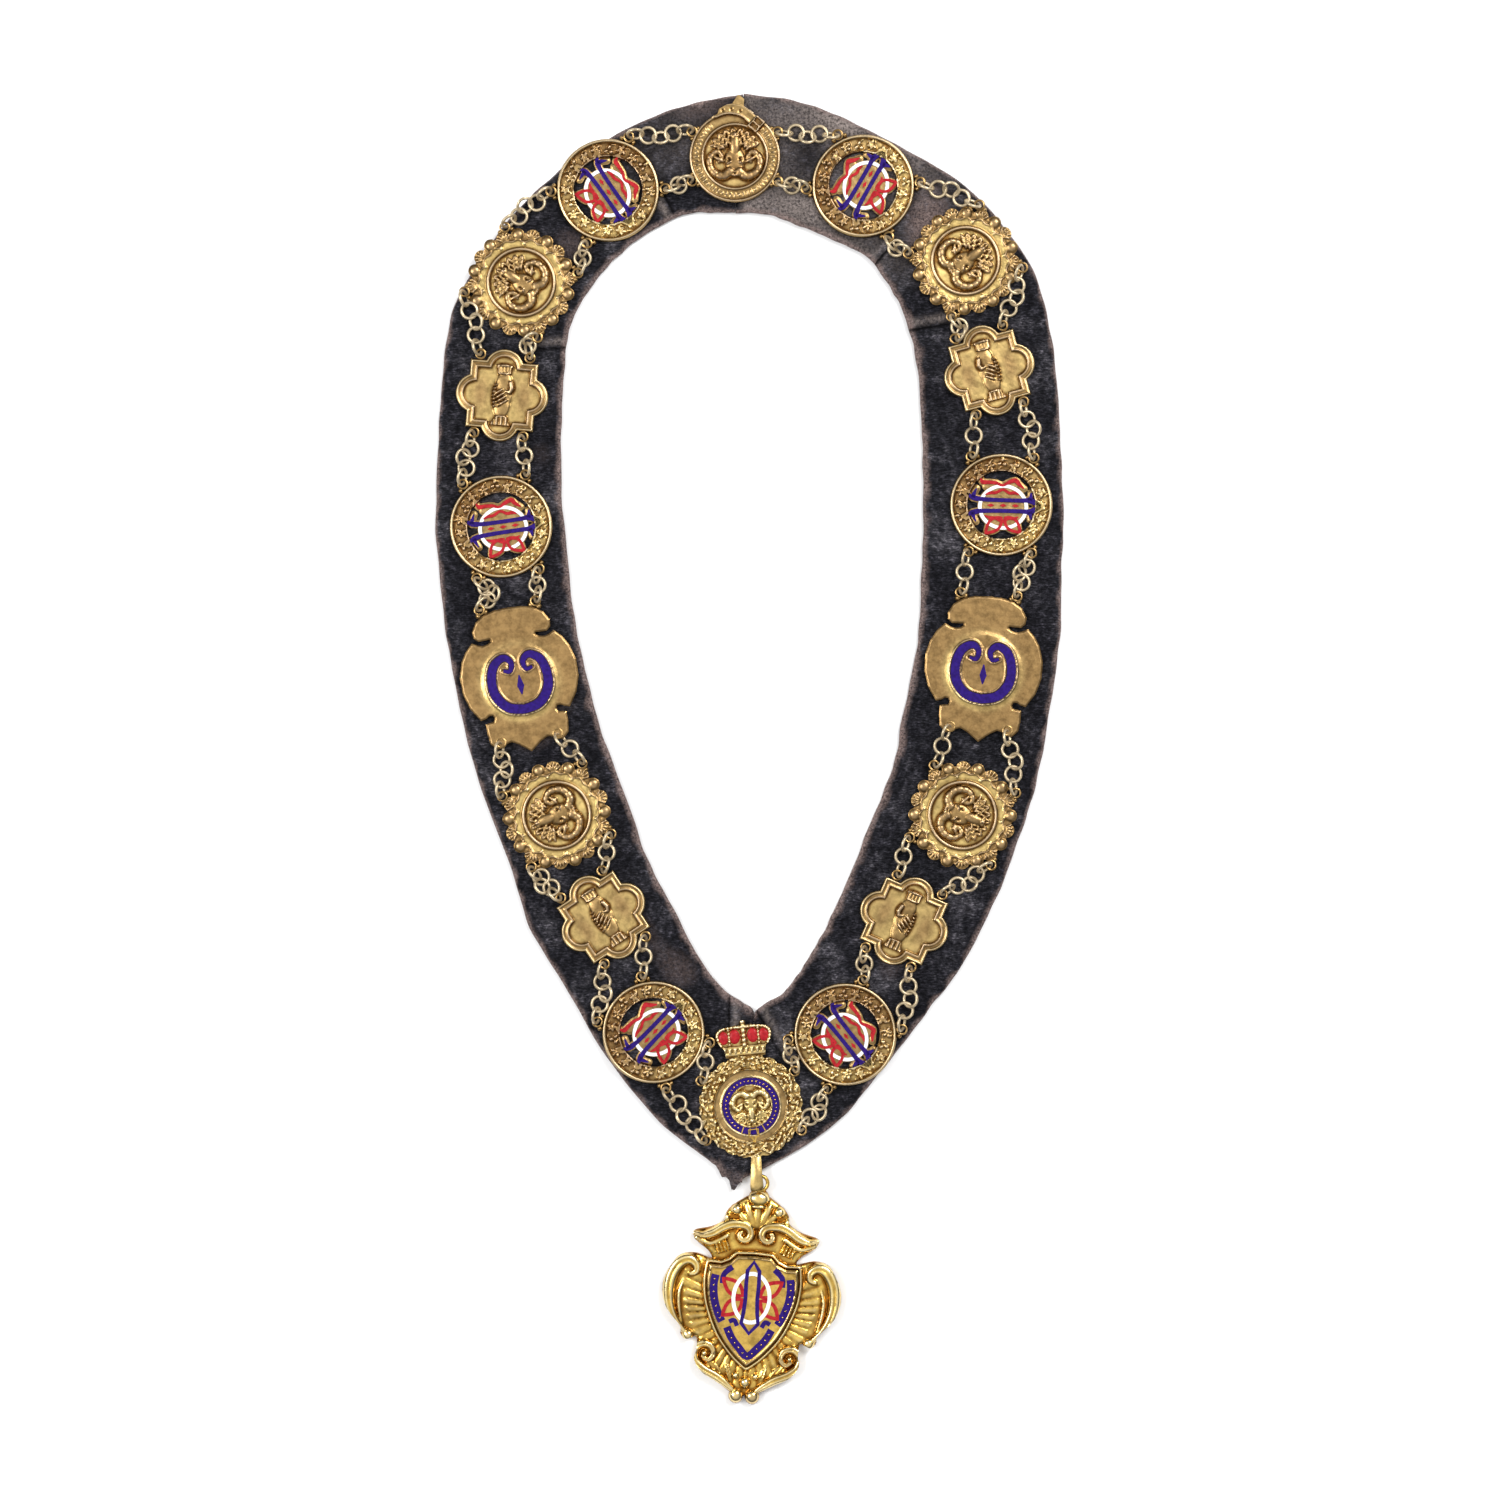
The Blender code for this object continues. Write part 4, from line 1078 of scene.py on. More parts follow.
def scallop_height(turn):
    def height(x, y):
        radius, angle = np.hypot(x, y), np.arctan2(y, x)
        wave = scallop_wave(angle)
        result = np.where(radius < wave, 5.15 + cast_grain(x, y, 0.06, 1.4), scallop_border(x, y))
        rim = 0.55 * rounded(((radius - wave) / 0.5) ** 2)
        result = np.maximum(result, SCALLOP_LEVEL + rim)
        result = result - 0.35 * np.exp(-((radius - 16.1) / 0.4) ** 2)
        for i in range(SCALLOP_SHELLS):
            bead = dome(x, y, *around(17.1, (i + 0.25) / SCALLOP_SHELLS), 0.75, 0.6)
            result = np.maximum(result, SCALLOP_LEVEL + bead)
        result = np.maximum(result, 4.9 + ring(x, y, SCALLOP_RING, 0.9, 1.1))
        dish = 4.35 + 0.3 * (radius / 13.5) ** 2 + ram_head(x, y, turn, SCALLOP_HEAD)
        return np.where(radius < 13.8, dish, result)
    return height


def scallop_tint(turn):
    def tint(x, y):
        radius, angle = np.hypot(x, y), np.arctan2(y, x)
        head = np.clip(ram_head(x, y, turn, SCALLOP_HEAD) * 3, 0, 1)
        inner = np.where(radius < 13.5, 0.95 - 0.6 * head, 0.5)
        outer = np.where(radius > 15.5, 0.95, inner)
        return np.where(radius > scallop_wave(angle) - 0.5, 0.38, outer)
    return tint


# Clasped hands. Palms, and the rolls of cuff and skirt, as egg takes them.
PALMS = ((0.6, 5.0, 1.62, 5.4, 3.7, 1.0), (0.1, -4.6, 1.5, 5.4, 3.7, 1.0), (0.3, 0.2, 1.57, 5.6, 4.2, 0.9))
CUFF_ROLLS = ((0.2, 13.0, 0, 4.0, 0.75, 1.6), (0.2, 9.5, 0, 3.0, 0.6, 1.5))
SKIRT_ROLL = (0.1, -9.3, 0, 3.0, 0.55, 1.5)
THUMB = ((3.4, 5.6), (4.0, 3.2), (3.2, 1.5), (1.4, 1.9))
THUMB_RADII = (1.1, 1.1, 0.9, 0.6)


def clasped_hands(x, y, side):
    """Two clasped hands with their cuffs, one from each end."""
    x = x * side
    result = highest(*(egg(x, y, *row) for row in PALMS))
    for i in range(4):
        cx, cy = -1.5 + 0.72 * i, 1.5 - 1.55 * i
        result = result - 0.5 * egg(x, y, cx - 0.45, cy - 0.85, 0.62, 2.4, 0.4, 1.0)
        result = np.maximum(result, egg(x, y, cx, cy, 0.62, 2.9, 0.72, 1.75))
    for i in range(7):
        knuckle = egg(x, y, -3.7 + 0.07 * (i - 3) ** 2, 4.4 - 1.55 * i, 0.3, 1.1, 0.62, 1.6)
        result = np.maximum(result, knuckle)
    thumb = cord_relief(x, y, THUMB, THUMB_RADII, 1.2)
    result = np.maximum(result, np.where(thumb > 0, 0.75 + thumb, 0))
    cuff = (np.abs(y - 11.3) < 1.9) & (np.abs(x - 0.2) < 3.0 + 0.45 * np.maximum(y - 11.6, 0))
    result = np.where(cuff, 1.0 + 0.2 * np.sin(4.2 * x), result)
    result = highest(result, *(egg(x, y, *row) for row in CUFF_ROLLS))
    flare = 2.9 + 0.55 * np.maximum(-y - 10.4, 0)
    skirt = (y < -9.2) & (y > -13.4) & (np.abs(x - 0.1) < flare)
    result = np.where(skirt, 1.0 + 0.35 * np.sin(3.1 * x), result)
    return np.maximum(result, egg(x, y, *SKIRT_ROLL))


def quatrefoil_height(side):
    def height(x, y):
        inside = -quatrefoil_edge(x, y)
        border = 5.0 + 0.6 * fade_step(inside, 0.0, 0.5) - 0.5 * fade_step(inside, 0.9, 1.3)
        border = border + 0.35 * fade_step(inside, 2.1, 2.5)
        drop = fade_step(inside, QUATREFOIL_BORDER - 0.35, QUATREFOIL_BORDER + 0.25)
        field = 4.4 + cast_grain(x, y, 0.025, 0.9) + clasped_hands(x, y, side)
        return border * (1 - drop) + field * drop
    return height


def quatrefoil_tint(side):
    def tint(x, y):
        inside = -quatrefoil_edge(x, y)
        hands = np.clip(clasped_hands(x, y, side) * 3, 0, 1)
        cloudy = np.exp(-(((np.abs(x) - 9.5) / 3.4) ** 2 + (y / 7.5) ** 2))
        field = (0.8 - 0.4 * cloudy) * (1 - hands) + 0.42 * hands
        return np.where(inside < QUATREFOIL_BORDER, 0.42 + 0.25 * (inside < 1.1), field)
    return tint


CARTOUCHE_HALF = (
    (0, 31.6), (6, 31.3), (11, 30.0), (15, 27.4), (17.3, 23.4), (17.0, 20.4), (15.2, 18.8),
    (12.4, 18.9), (10.2, 19.0), (9.8, 18.2), (11.4, 17.1), (13.8, 16.7), (16.2, 17.4), (18.2, 18.6),
    (21.4, 15.4), (24.0, 11.0), (25.8, 4.5), (25.7, -3.0), (23.6, -9.8), (19.7, -15.7), (17.2, -15.0),
    (15.8, -14.0), (14.3, -14.2), (13.7, -15.5), (14.3, -16.9), (15.8, -17.1), (17.9, -17.5),
    (17.9, -22.0), (17.3, -26.5), (14.6, -29.2), (11.6, -28.9), (10.0, -27.4), (8.0, -26.9),
    (4.8, -28.6), (0, -32.4),
)


def mirrored(half):
    return [tuple(p) for p in half] + [(-x, y) for x, y in reversed(half) if x > 0]


def cartouche_edge(x, y):
    return polygon_distance(x, y, mirrored(CARTOUCHE_HALF))


CARTOUCHE_SCROLL, CARTOUCHE_WIDTHS = smooth_strand(
    ((0.0, -13.6), (6.8, -11.9), (11.4, -6.4), (12.3, 0.6), (10.2, 7.2), (5.6, 10.0), (2.6, 7.4),
     (3.6, 3.8), (6.4, 4.4)),
    (4.4, 4.6, 4.6, 4.4, 4.2, 3.4, 2.6, 2.0, 1.4), 5)


def cartouche_height(x, y):
    inside = -cartouche_edge(x, y)
    radius = np.hypot(x, y + 0.8)
    result = 5.15 + 0.45 * fade_step(inside, 0, 0.8) + cast_grain(x, y, 0.02, 0.6)
    result = result + 0.45 * fade_step(radius, 17.6, 15.0)
    side = np.abs(x)
    outside = np.full_like(x, 9.0)
    for (a, b), width in zip(zip(CARTOUCHE_SCROLL, CARTOUCHE_SCROLL[1:]), CARTOUCHE_WIDTHS):
        outside = np.minimum(outside, segment(side, y, a, b)[0] - width / 2)
    result = result - 0.25 * (outside < 0)
    return result + 0.4 * np.exp(-((outside - 0.35) / 0.4) ** 2)


def cartouche_tint(x, y):
    radius, angle = np.hypot(x, y + 0.8), np.arctan2(y, x)
    # Painted highlight: a brighter band on the slope of the raised ring, stronger towards one side
    painted_rim_highlight = np.exp(-((radius - 16.4) / 2.0) ** 2) * (0.65 + 0.35 * np.cos(angle + 1.9))
    return np.clip(0.3 + 0.6 * painted_rim_highlight, 0, 1)


STRAP_PATH = ((-8.6, 19.2), (-4.8, 20.6), (0.0, 20.6), (4.6, 19.0), (9.4, 14.6))
BUCKLE_PLACE = (9.4, 14.2)
BUCKLE_TURN = math.radians(-42)
STRAP_LEVEL = 4.85
STRAP_HOLES = ((-5.2, 20.3), (-1.4, 20.7), (2.4, 20.0))
STRAP_PLAIN = ((48, 128),)
TOP_HEAD = (-math.pi / 2, 1.15)


def top_edge(x, y):
    tip = [(-8.4, 16.5), (-6.8, 20.9), (-3.6, 22.7), (-1.2, 23.0), (1.4, STRAP_TIP), (4.1, 25.2),
           (3.9, 22.0), (8.4, 19.0), (12.6, 15.4), (9.0, 12.0)]
    return np.minimum(np.hypot(x, y) - TOP_RADIUS, polygon_distance(x, y, tip))


def beads_round(x, y, radius, count, size, height, skip):
    """Little bars and dots in turn around a band, left out between pairs of angles."""
    result = np.zeros_like(x)
    for i in range(count):
        degrees = 360 * i / count
        if any(a <= degrees <= b for a, b in skip):
            continue
        at = math.radians(degrees)
        cx, cy = radius * math.cos(at), radius * math.sin(at)
        if i % 4 == 3:
            result = np.maximum(result, dome(x, y, cx, cy, 0.5 * size, height))
        else:
            result = np.maximum(result, egg(x, y, cx, cy, at, size, 0.34 * size, height))
    return result


def top_height(x, y):
    radius = np.hypot(x, y)
    strap = STRAP_LEVEL + highest(beads_round(x, y, 16.9, 56, 1.2, 0.45, STRAP_PLAIN),
                                  ring(x, y, 19.4, 0.65, 0.8), ring(x, y, 14.2, 0.6, 0.8))
    across = distance_to(x, y, curve_through(STRAP_PATH))
    lap = 5.7 + 0.3 * np.exp(-((across - 1.9) / 0.35) ** 2)
    for px, py in STRAP_HOLES:
        lap = lap - 0.6 * np.exp(-((x - px) ** 2 + (y - py) ** 2) / 0.4)
    strap = np.where((across < 2.4) | ((y > 21) & (np.abs(x - 1) < 4)), lap, strap)
    c, s = math.cos(BUCKLE_TURN), math.sin(BUCKLE_TURN)
    u = (x - BUCKLE_PLACE[0]) * c + (y - BUCKLE_PLACE[1]) * s
    v = (y - BUCKLE_PLACE[1]) * c - (x - BUCKLE_PLACE[0]) * s
    frame = np.maximum(np.abs(u) / 2.4, np.abs(v) / 3.2)
    strap = np.where(frame < 1, np.where(frame > 0.7, 6.35, 5.5), strap)
    strap = np.where((np.abs(v) < 0.45) & (np.abs(u) < 2.4), 6.3, strap)
    return np.where(radius < TOP_RECESS - 0.1, 4.3 + ram_head(x, y, *TOP_HEAD), strap)


def top_tint(x, y):
    head = np.clip(ram_head(x, y, *TOP_HEAD) * 3, 0, 1)
    return np.where(np.hypot(x, y) < TOP_RECESS - 0.1, 0.7 - 0.45 * head, 0.5)


# Centre medallion. Wreath: radius of each row of leaves and their number.
WREATH_ROWS = ((17.3, 44), (19.0, 48), (20.6, 50), (22.0, 46))
CENTRE_HEAD = (math.pi / 2, 0.8)
CROWN_ARCH = ((1.0, 34.9), (5.0, 35.0), (9.8, 34.3), (11.7, 31.6), (10.4, 27.4))
CROWN_LEVEL = 5.1
CROWN_HALF = (
    (0, 37.9), (1.5, 37.2), (1.3, 35.9), (3.5, 35.9), (7.6, 35.2), (10.6, 34.8), (12.4, 32.9),
    (12.3, 30.4), (10.6, 27.4), (9.0, 25.3), (8.7, 22.0), (0, 20.5),
)
CROWN_CAPS = ((4.0, 30.9, 2.5, 3.2), (8.9, 30.7, 2.4, 2.9))


def centre_edge(x, y):
    wreath = polar_distance(x, y, centre_radius)
    return np.minimum(wreath, polygon_distance(x, y, mirrored(CROWN_HALF)))


def centre_wreath(x, y):
    dice = np.random.default_rng(SEED + 1)
    wreath = 4.4 + cast_grain(x, y, 0.05, 2.5)
    for row, count in WREATH_ROWS:
        for i in range(count):
            at = math.tau * (i + 0.6 * dice.random()) / count
            spin = at + math.pi / 2 * (1 if math.pi / 2 < at < math.pi * 1.5 else -1)
            cx, cy = row * math.cos(at), row * math.sin(at)
            turn = spin + 1.6 * (dice.random() - 0.5)
            blade = leaf(x, y, cx, cy, turn, 2.7, 1.5, 1.1 + 0.5 * dice.random())
            wreath = np.maximum(wreath, 4.5 + blade)
            if i % 4 == 0:
                wreath = np.maximum(wreath, 4.9 + dome(x, y, cx, cy, 0.75, 1.2))
    return wreath


def crown_height(x, y):
    band = (y > 22.6) & (y < 26.6) & (np.abs(x) < 9.4)
    crown = np.where(band, 5.6 + 0.35 * np.sin(2.6 * x) * (np.abs(y - 24.6) < 0.9),
                     4.9 + cast_grain(x, y, 0.05, 3))
    beads = [(0, 27.2 + 2.0 * k, 1.3, 1.5) for k in range(6)]
    for side in (-1, 1):
        arch = curve_through([(side * a, b) for a, b in CROWN_ARCH])
        beads.extend((*place, 0.95, 1.3) for place in arch[::2])
        beads.extend((side * 6.5, 27.6 + 1.6 * i, 0.8, 1.2) for i in range(5))
    return highest(crown, *(CROWN_LEVEL + dome(x, y, *row) for row in beads))


def centre_height(x, y):
    radius = np.hypot(x, y)
    plain = 5.2 + ring(x, y, CENTRE_RING - 0.1, 0.5, 0.6) + 0.2 * fade_step(radius, 15.9, 13.4)
    plain = np.maximum(plain, 5.0 + ring(x, y, CENTRE_FIELD + 0.2, 0.5, 0.8))
    field = 4.75 + ram_head(x, y, *CENTRE_HEAD) * 0.9 + cast_grain(x, y, 0.05, 3)
    field = np.maximum(field, 4.8 + ring(x, y, 9.2, 0.4, 0.7))
    inner = np.where(radius > CENTRE_FIELD - 0.3, plain, np.where(radius > 9.5, 4.9, field))
    result = np.where(radius > CENTRE_RING, centre_wreath(x, y), inner)
    crowned = (y > 22.3) & (polygon_distance(x, y, mirrored(CROWN_HALF)) < 0.4)
    return np.where(crowned, crown_height(x, y), result)


def centre_tint(x, y):
    radius = np.hypot(x, y)
    plain = (radius < CENTRE_RING - 0.6) & (radius > CENTRE_FIELD + 0.7)
    return np.where(plain, 0.45, np.where(radius < CENTRE_FIELD, 0.95, 0.85))


# Pendant

BAND_GROOVE = 0.22


def frame_points():
    half = [(a * PENDANT_HALF_WIDTH, b * PENDANT_HALF_HEIGHT) for a, b in FRAME_OUTLINE]
    right = curve_through(half, 4)
    return right + [(-x, y) for x, y in reversed(right)]


def band_relief(x, y, route, widths, height, groove=BAND_GROOVE):
    """A moulded strand with a groove along its middle."""
    top = max(widths)
    share = np.full_like(x, 1e3)
    size = np.ones_like(x)
    for a, b, wa, wb in zip(route, route[1:], widths, widths[1:]):
        distance, t = segment(x, y, a, b)
        radius = wa + (wb - wa) * t
        better = distance / radius < share
        share = np.where(better, distance / radius, share)
        size = np.where(better, radius / top, size)
    return height * np.sqrt(size) * rounded(share ** 2) * (1 - groove * np.exp(-(share / 0.25) ** 2))


# Scrollwork of the frame's right half. Strands: route, half widths.
VOLUTE = ((27.8, 27.0), (23.6, 25.9), (19.0, 27.3), (14.6, 30.2), (10.4, 31.9), (6.2, 31.8))
VOLUTE_PLACES = (0, 0.2, 0.5, 0.75, 1)
VOLUTE_WIDTHS = (0.8, 2.1, 2.5, 1.9, 1.2)
C_SCROLL = ((27.2, -17.6), (32.0, -12.8), (35.4, -6.4), (36.6, 0.8), (35.6, 8.0), (32.4, 13.4),
            (28.4, 15.0), (25.3, 13.0), (25.1, 9.9), (27.4, 8.8))
C_WIDTHS = (0.9, 1.8, 2.4, 2.8, 3.0, 3.0, 2.6, 2.1, 1.6, 1.2)
FOOT_SCROLL = ((4.8, -41.0), (8.8, -37.9), (13.4, -35.0), (18.6, -32.6), (22.6, -29.0), (23.2, -24.4),
               (20.2, -21.4), (16.2, -22.2), (14.8, -25.8), (17.0, -28.4), (19.4, -27.0))
FOOT_WIDTHS = (1.0, 1.9, 2.3, 2.3, 2.1, 2.0, 1.9, 1.7, 1.5, 1.3, 1.1)
CORNICE = ((26.0, 24.6), (20.5, 22.6), (17.0, 23.8), (12.8, 26.4))
CORNICE_WIDTHS = (1.2, 1.2, 1.2, 1.2)
LIP = ((29.6, -13.6), (31.4, -6.4), (31.8, 0.4), (30.2, 5.6))
LIP_WIDTHS = (0.7, 1.0, 1.0, 0.6)
SCROLL_LEVEL = 2.9

# Fan over the cornice: angle (degrees), length, width
FAN = ((90, 13.5, 4.6), (68, 13.5, 4.4), (48, 12.0, 4.2), (28, 10.0, 3.8))

# Bosses, as dome takes them, knobs, as egg takes them, and leaves: the last number is the
# height of their foot
FRAME_BOSSES = (
    (9.4, 38.2, 2.5, 2.3, 2.7), (13.8, 34.2, 2.0, 1.9, 2.7), (18.8, -25.6, 1.5, 2.0, 3.2),
    (26.6, -18.2, 2.5, 2.1, 2.8), (0, -37.2, 2.5, 2.5, 2.9), (4.4, -34.4, 1.6, 1.8, 2.9),
    (3.6, -43.2, KNOB_RADIUS, 2.8, 2.4),
)
FRAME_KNOBS = ((0, 43.6, 0, 4.6, 3.4, 2.8, 3.0), (0, 40.2, 0, 3.8, 1.2, 2.2, 2.9))
FRAME_LEAVES = (
    (10.4, -35.4, math.radians(52), 9.0, 3.8, 1.7, 2.6),
    (14.6, -33.0, math.radians(62), 7.6, 3.4, 1.7, 2.6),
    (6.6, -36.4, math.radians(74), 8.6, 3.2, 1.7, 2.6),
)


def frame_ground(x, y, shield):
    """The frame's plate, rounded at its edge, with a ribbed shell around the shield."""
    edge = -polygon_distance(x, y, frame_points())
    base = 1.8 + 1.3 * rounded((1 - np.clip(edge / 2.6, 0, 1)) ** 2)
    turn = np.arctan2(y + 5, np.abs(x))
    shell = fade_step(shield, 1.2, 2.6) * (1 - fade_step(shield, 9.0, 11.5)) * (y < 16)
    gadroon = np.abs(np.sin(22 * turn + 0.7 * np.sin(5 * turn))) ** 0.7
    return base + shell * (0.6 * gadroon - 0.05) + cast_grain(x, y, 0.05, 0.9)


def frame_panel(side, y):
    """The small reeded block under the cornice."""
    u = (side - 14.6) * 0.93 + (y - 21.4) * -0.37
    v = (y - 21.4) * 0.93 + (side - 14.6) * 0.37
    return np.where((np.abs(u) < 3.1) & (np.abs(v) < 2.3), 3.9 + 0.5 * np.sin(4.0 * u), 0)


def frame_strands(side, y):
    """The frame's scrolls and mouldings, as heights over the scrolls' level."""
    volute = curve_through(VOLUTE, 5) + spiral((5.7, 27.6), 82, 320, (4.2, 1.2), 18)[1:]
    places = np.linspace(0, 1, len(volute))
    widths = list(np.interp(places, VOLUTE_PLACES, VOLUTE_WIDTHS))
    return (band_relief(side, y, volute, widths, 2.6),
            band_relief(side, y, *smooth_strand(C_SCROLL, C_WIDTHS, 5), 2.8),
            band_relief(side, y, *smooth_strand(FOOT_SCROLL, FOOT_WIDTHS, 5), 2.6, 0.25),
            cord_relief(side, y, *smooth_strand(CORNICE, CORNICE_WIDTHS, 5), 1.2),
            cord_relief(side, y, *smooth_strand(LIP, LIP_WIDTHS), 1.3))


def frame_height(x, y):
    """The pendant's cast scrollwork over one plate: drawn for the right half and mirrored."""
    shield = shield_edge(x, y)
    side = np.abs(x)
    forms = [(1.8 * rounded((shield - 1.0) ** 2), SCROLL_LEVEL)]
    for turn, length, width in FAN:
        angle = math.radians(turn)
        cx, cy = 0.62 * length * math.cos(angle), 28.0 + 0.62 * length * math.sin(angle)
        forms.append((egg(side, y, cx, cy, angle, 0.5 * length, width / 2, 1.9), 2.7))
    forms.extend((strand, SCROLL_LEVEL) for strand in frame_strands(side, y))
    for draw, rows in ((dome, FRAME_BOSSES), (egg, FRAME_KNOBS), (leaf, FRAME_LEAVES)):
        forms.extend((draw(side, y, *row), foot) for *row, foot in rows)
    raised = [np.where(form > 0, foot + form, 0) for form, foot in forms]
    return highest(frame_ground(x, y, shield), frame_panel(side, y), *raised)


def frame_edge(x, y):
    side = np.abs(x)
    result = polygon_distance(x, y, frame_points())
    result = np.minimum(result, np.hypot(x / 1.06, (y - 43.6)) - 4.4)
    result = np.minimum(result, np.hypot(side - 9.6, y - 38.0) - 2.7)
    return np.minimum(result, np.hypot(side - 3.6, y + 43.6) - KNOB_RADIUS)


def frame_tint(x, y):
    return np.clip(0.9 + 0.25 * np.sin(0.21 * x + 1) * np.sin(0.17 * y), 0.6, 1)


def shield_points():
    half = [(a * PENDANT_HALF_WIDTH, b * PENDANT_HALF_HEIGHT) for a, b in SHIELD_OUTLINE]
    lower = curve_through(half[4:], 5)
    return mirrored(half[:4] + lower)


def shield_edge(x, y):
    return polygon_distance(x, y, shield_points())


def shield_height(x, y):
    inside = -shield_edge(x, y)
    top = SHIELD_LOW + SHIELD_THICK - 0.6 + 0.6 * fade_step(inside, 0, 0.9)
    top = top - 0.4 * fade_step(inside, 1.1, 1.5) + 0.15 * fade_step(inside, 1.9, 2.6)
    return top + cast_grain(x, y, 0.015, 0.8)


def shield_tint(x, y):
    inside = -shield_edge(x, y)
    cloudy = 0.5 + 0.5 * np.sin(0.33 * x + 0.8) * np.sin(0.27 * y + 2)
    return np.where(inside < 1.4, 0.5, 0.75 + 0.25 * cloudy)


def both_sides(route, width):
    """A band drawn for the right half, and its mirror image before it."""
    return [(tuple((side * x, y) for x, y in route), width) for side in (-1, 1)]


# Blue bands on the shield: route, width. The first three carry gilt dots.
SHIELD_BLUE = [
    *both_sides(((16.4, 9.6), (16.9, 5.0), (16.2, -1.0), (14.2, -7.0), (12.2, -10.6)), 3.7),
    (((-9.8, -13.0), (-7.4, -17.6), (-4.0, -21.6), (0.0, -25.2), (4.0, -21.6), (7.4, -17.6),
      (9.8, -13.0)), 3.7),
    *both_sides(((9.0, -10.6), (6.8, -9.8), (5.4, -12.2)), 2.2),
    *both_sides(((13.2, 6.0), (12.8, 10.0), (9.2, 13.4)), 2.6),
]
SHIELD_LANCET = ((0.0, 16.2), (2.6, 12.4), (2.8, 6.0), (2.6, 0.0), (3.0, -6.0), (3.7, -10.8),
                 (0.0, -15.2), (-3.7, -10.8), (-3.0, -6.0), (-2.6, 0.0), (-2.8, 6.0), (-2.6, 12.4))
SHIELD_LEAVES = ((4.0, 1.2), (13.0, 8.2), 2.8), ((4.2, -0.6), (12.2, -8.0), 2.8)


# Making the pieces

KNOT_FOOT = 4.3
SCROLL_FOOT = 5.3
CENTRE_FOOT = 5.2
BEAD_ROW = 11.05
BEADS = 40


def plate_matrix(row):
    _, _, across, drop, turn = row
    place = Vector((across * COLLAR_WIDTH / 2, COLLAR_TOP - drop * COLLAR_LENGTH, 0))
    return Matrix.Translation(place) @ Matrix.Rotation(math.radians(turn), 4, "Z")


def square(reach):
    return (-reach, reach, -reach, reach)


def lug_shape(form):
    """Round wire eyelets, some with two small curls at the foot."""
    shape = Shape()
    for centre in lug_places(form).values():
        out = centre.normalized()
        side = Vector((-out.y, out.x, 0))
        middle = centre + Vector((0, 0, LUG_MIDDLE))
        add_torus(shape, middle, out, side, LUG_RADIUS - LUG_WIRE, LUG_WIRE, 22, 8)
        if form in LUG_CURLS:
            back, apart, foot, radius, rise = LUG_CURLS[form]
            for hand in (-1, 1):
                at = centre - out * back + side * hand * apart
                add_ball(shape, (at.x, at.y, foot), (radius, radius, rise), 10, 4)
    return shape


def knot_enamel():
    """Marks: 0 blue, 1 red, 2 white."""
    shape = Shape()
    add_ribbon(shape, WHITE_RING, 1.7, KNOT_FOOT, 5.15, 2, True)
    for row in KNOT_LEAVES:
        add_ribbon(shape, leaf_loop(*row), 1.5, KNOT_FOOT, 5.2, 1, True)
    for mark, route, widths in knot_strands():
        add_ribbon(shape, route, widths, KNOT_FOOT, 5.3 - 0.07 * mark, mark)
    for x, y in KNOT_GEMS:
        add_ribbon(shape, [(x - 1.5, y), (x, y), (x + 1.5, y)], [0.2, 1.7, 0.2], KNOT_FOOT, 5.2, 1)
    return shape


def cartouche_enamel():
    shape = Shape()
    route = [(-x, y) for x, y in reversed(CARTOUCHE_SCROLL[1:])] + list(CARTOUCHE_SCROLL)
    widths = list(reversed(CARTOUCHE_WIDTHS[1:])) + list(CARTOUCHE_WIDTHS)
    add_ribbon(shape, route, widths, SCROLL_FOOT, 6.05)
    add_ribbon(shape, [(0, -7.0), (0, -3.2), (0, 1.6)], [0.5, 3.6, 0.5], SCROLL_FOOT, 6.2)
    return shape


def centre_enamel():
    shape = Shape()
    add_ribbon(shape, loop_points(0, 0, BEAD_ROW, BEAD_ROW, 72), 3.1, 4.9, 5.3, 0, True)
    for cx, cy, rx, ry in CROWN_CAPS:
        for side in (-1, 1):
            add_ball(shape, (side * cx, cy, CROWN_LEVEL), (rx, ry, 0.85), 14, 4, 1)
    return shape


def centre_beads():
    """Gilt beads on the blue ring, and the buckle that closes it."""
    shape = Shape()
    for i in range(BEADS):
        if 235 < 360 * i / BEADS < 305:
            continue
        size = (0.3, 0.3, 0.2) if i % 4 == 3 else (0.42, 0.42, 0.22)
        add_ball(shape, (*around(BEAD_ROW, i / BEADS), 5.28), size, 8, 3)
    for at in (245, 262, 278, 295):
        ends = [around(r, at / 360) for r in (9.6, 12.5)]
        add_ribbon(shape, ends, 0.5, CENTRE_FOOT, 5.6)
    buckle = [(-2.2, -10.2), (2.2, -10.2), (2.2, -13.4), (-2.2, -13.4)]
    add_ribbon(shape, buckle, 0.6, CENTRE_FOOT, 5.9, 0, True)
    add_ribbon(shape, [(-1.4, -13.0), (0, -15.4), (1.4, -13.0)], 1.2, CENTRE_FOOT, 5.7)
    return shape


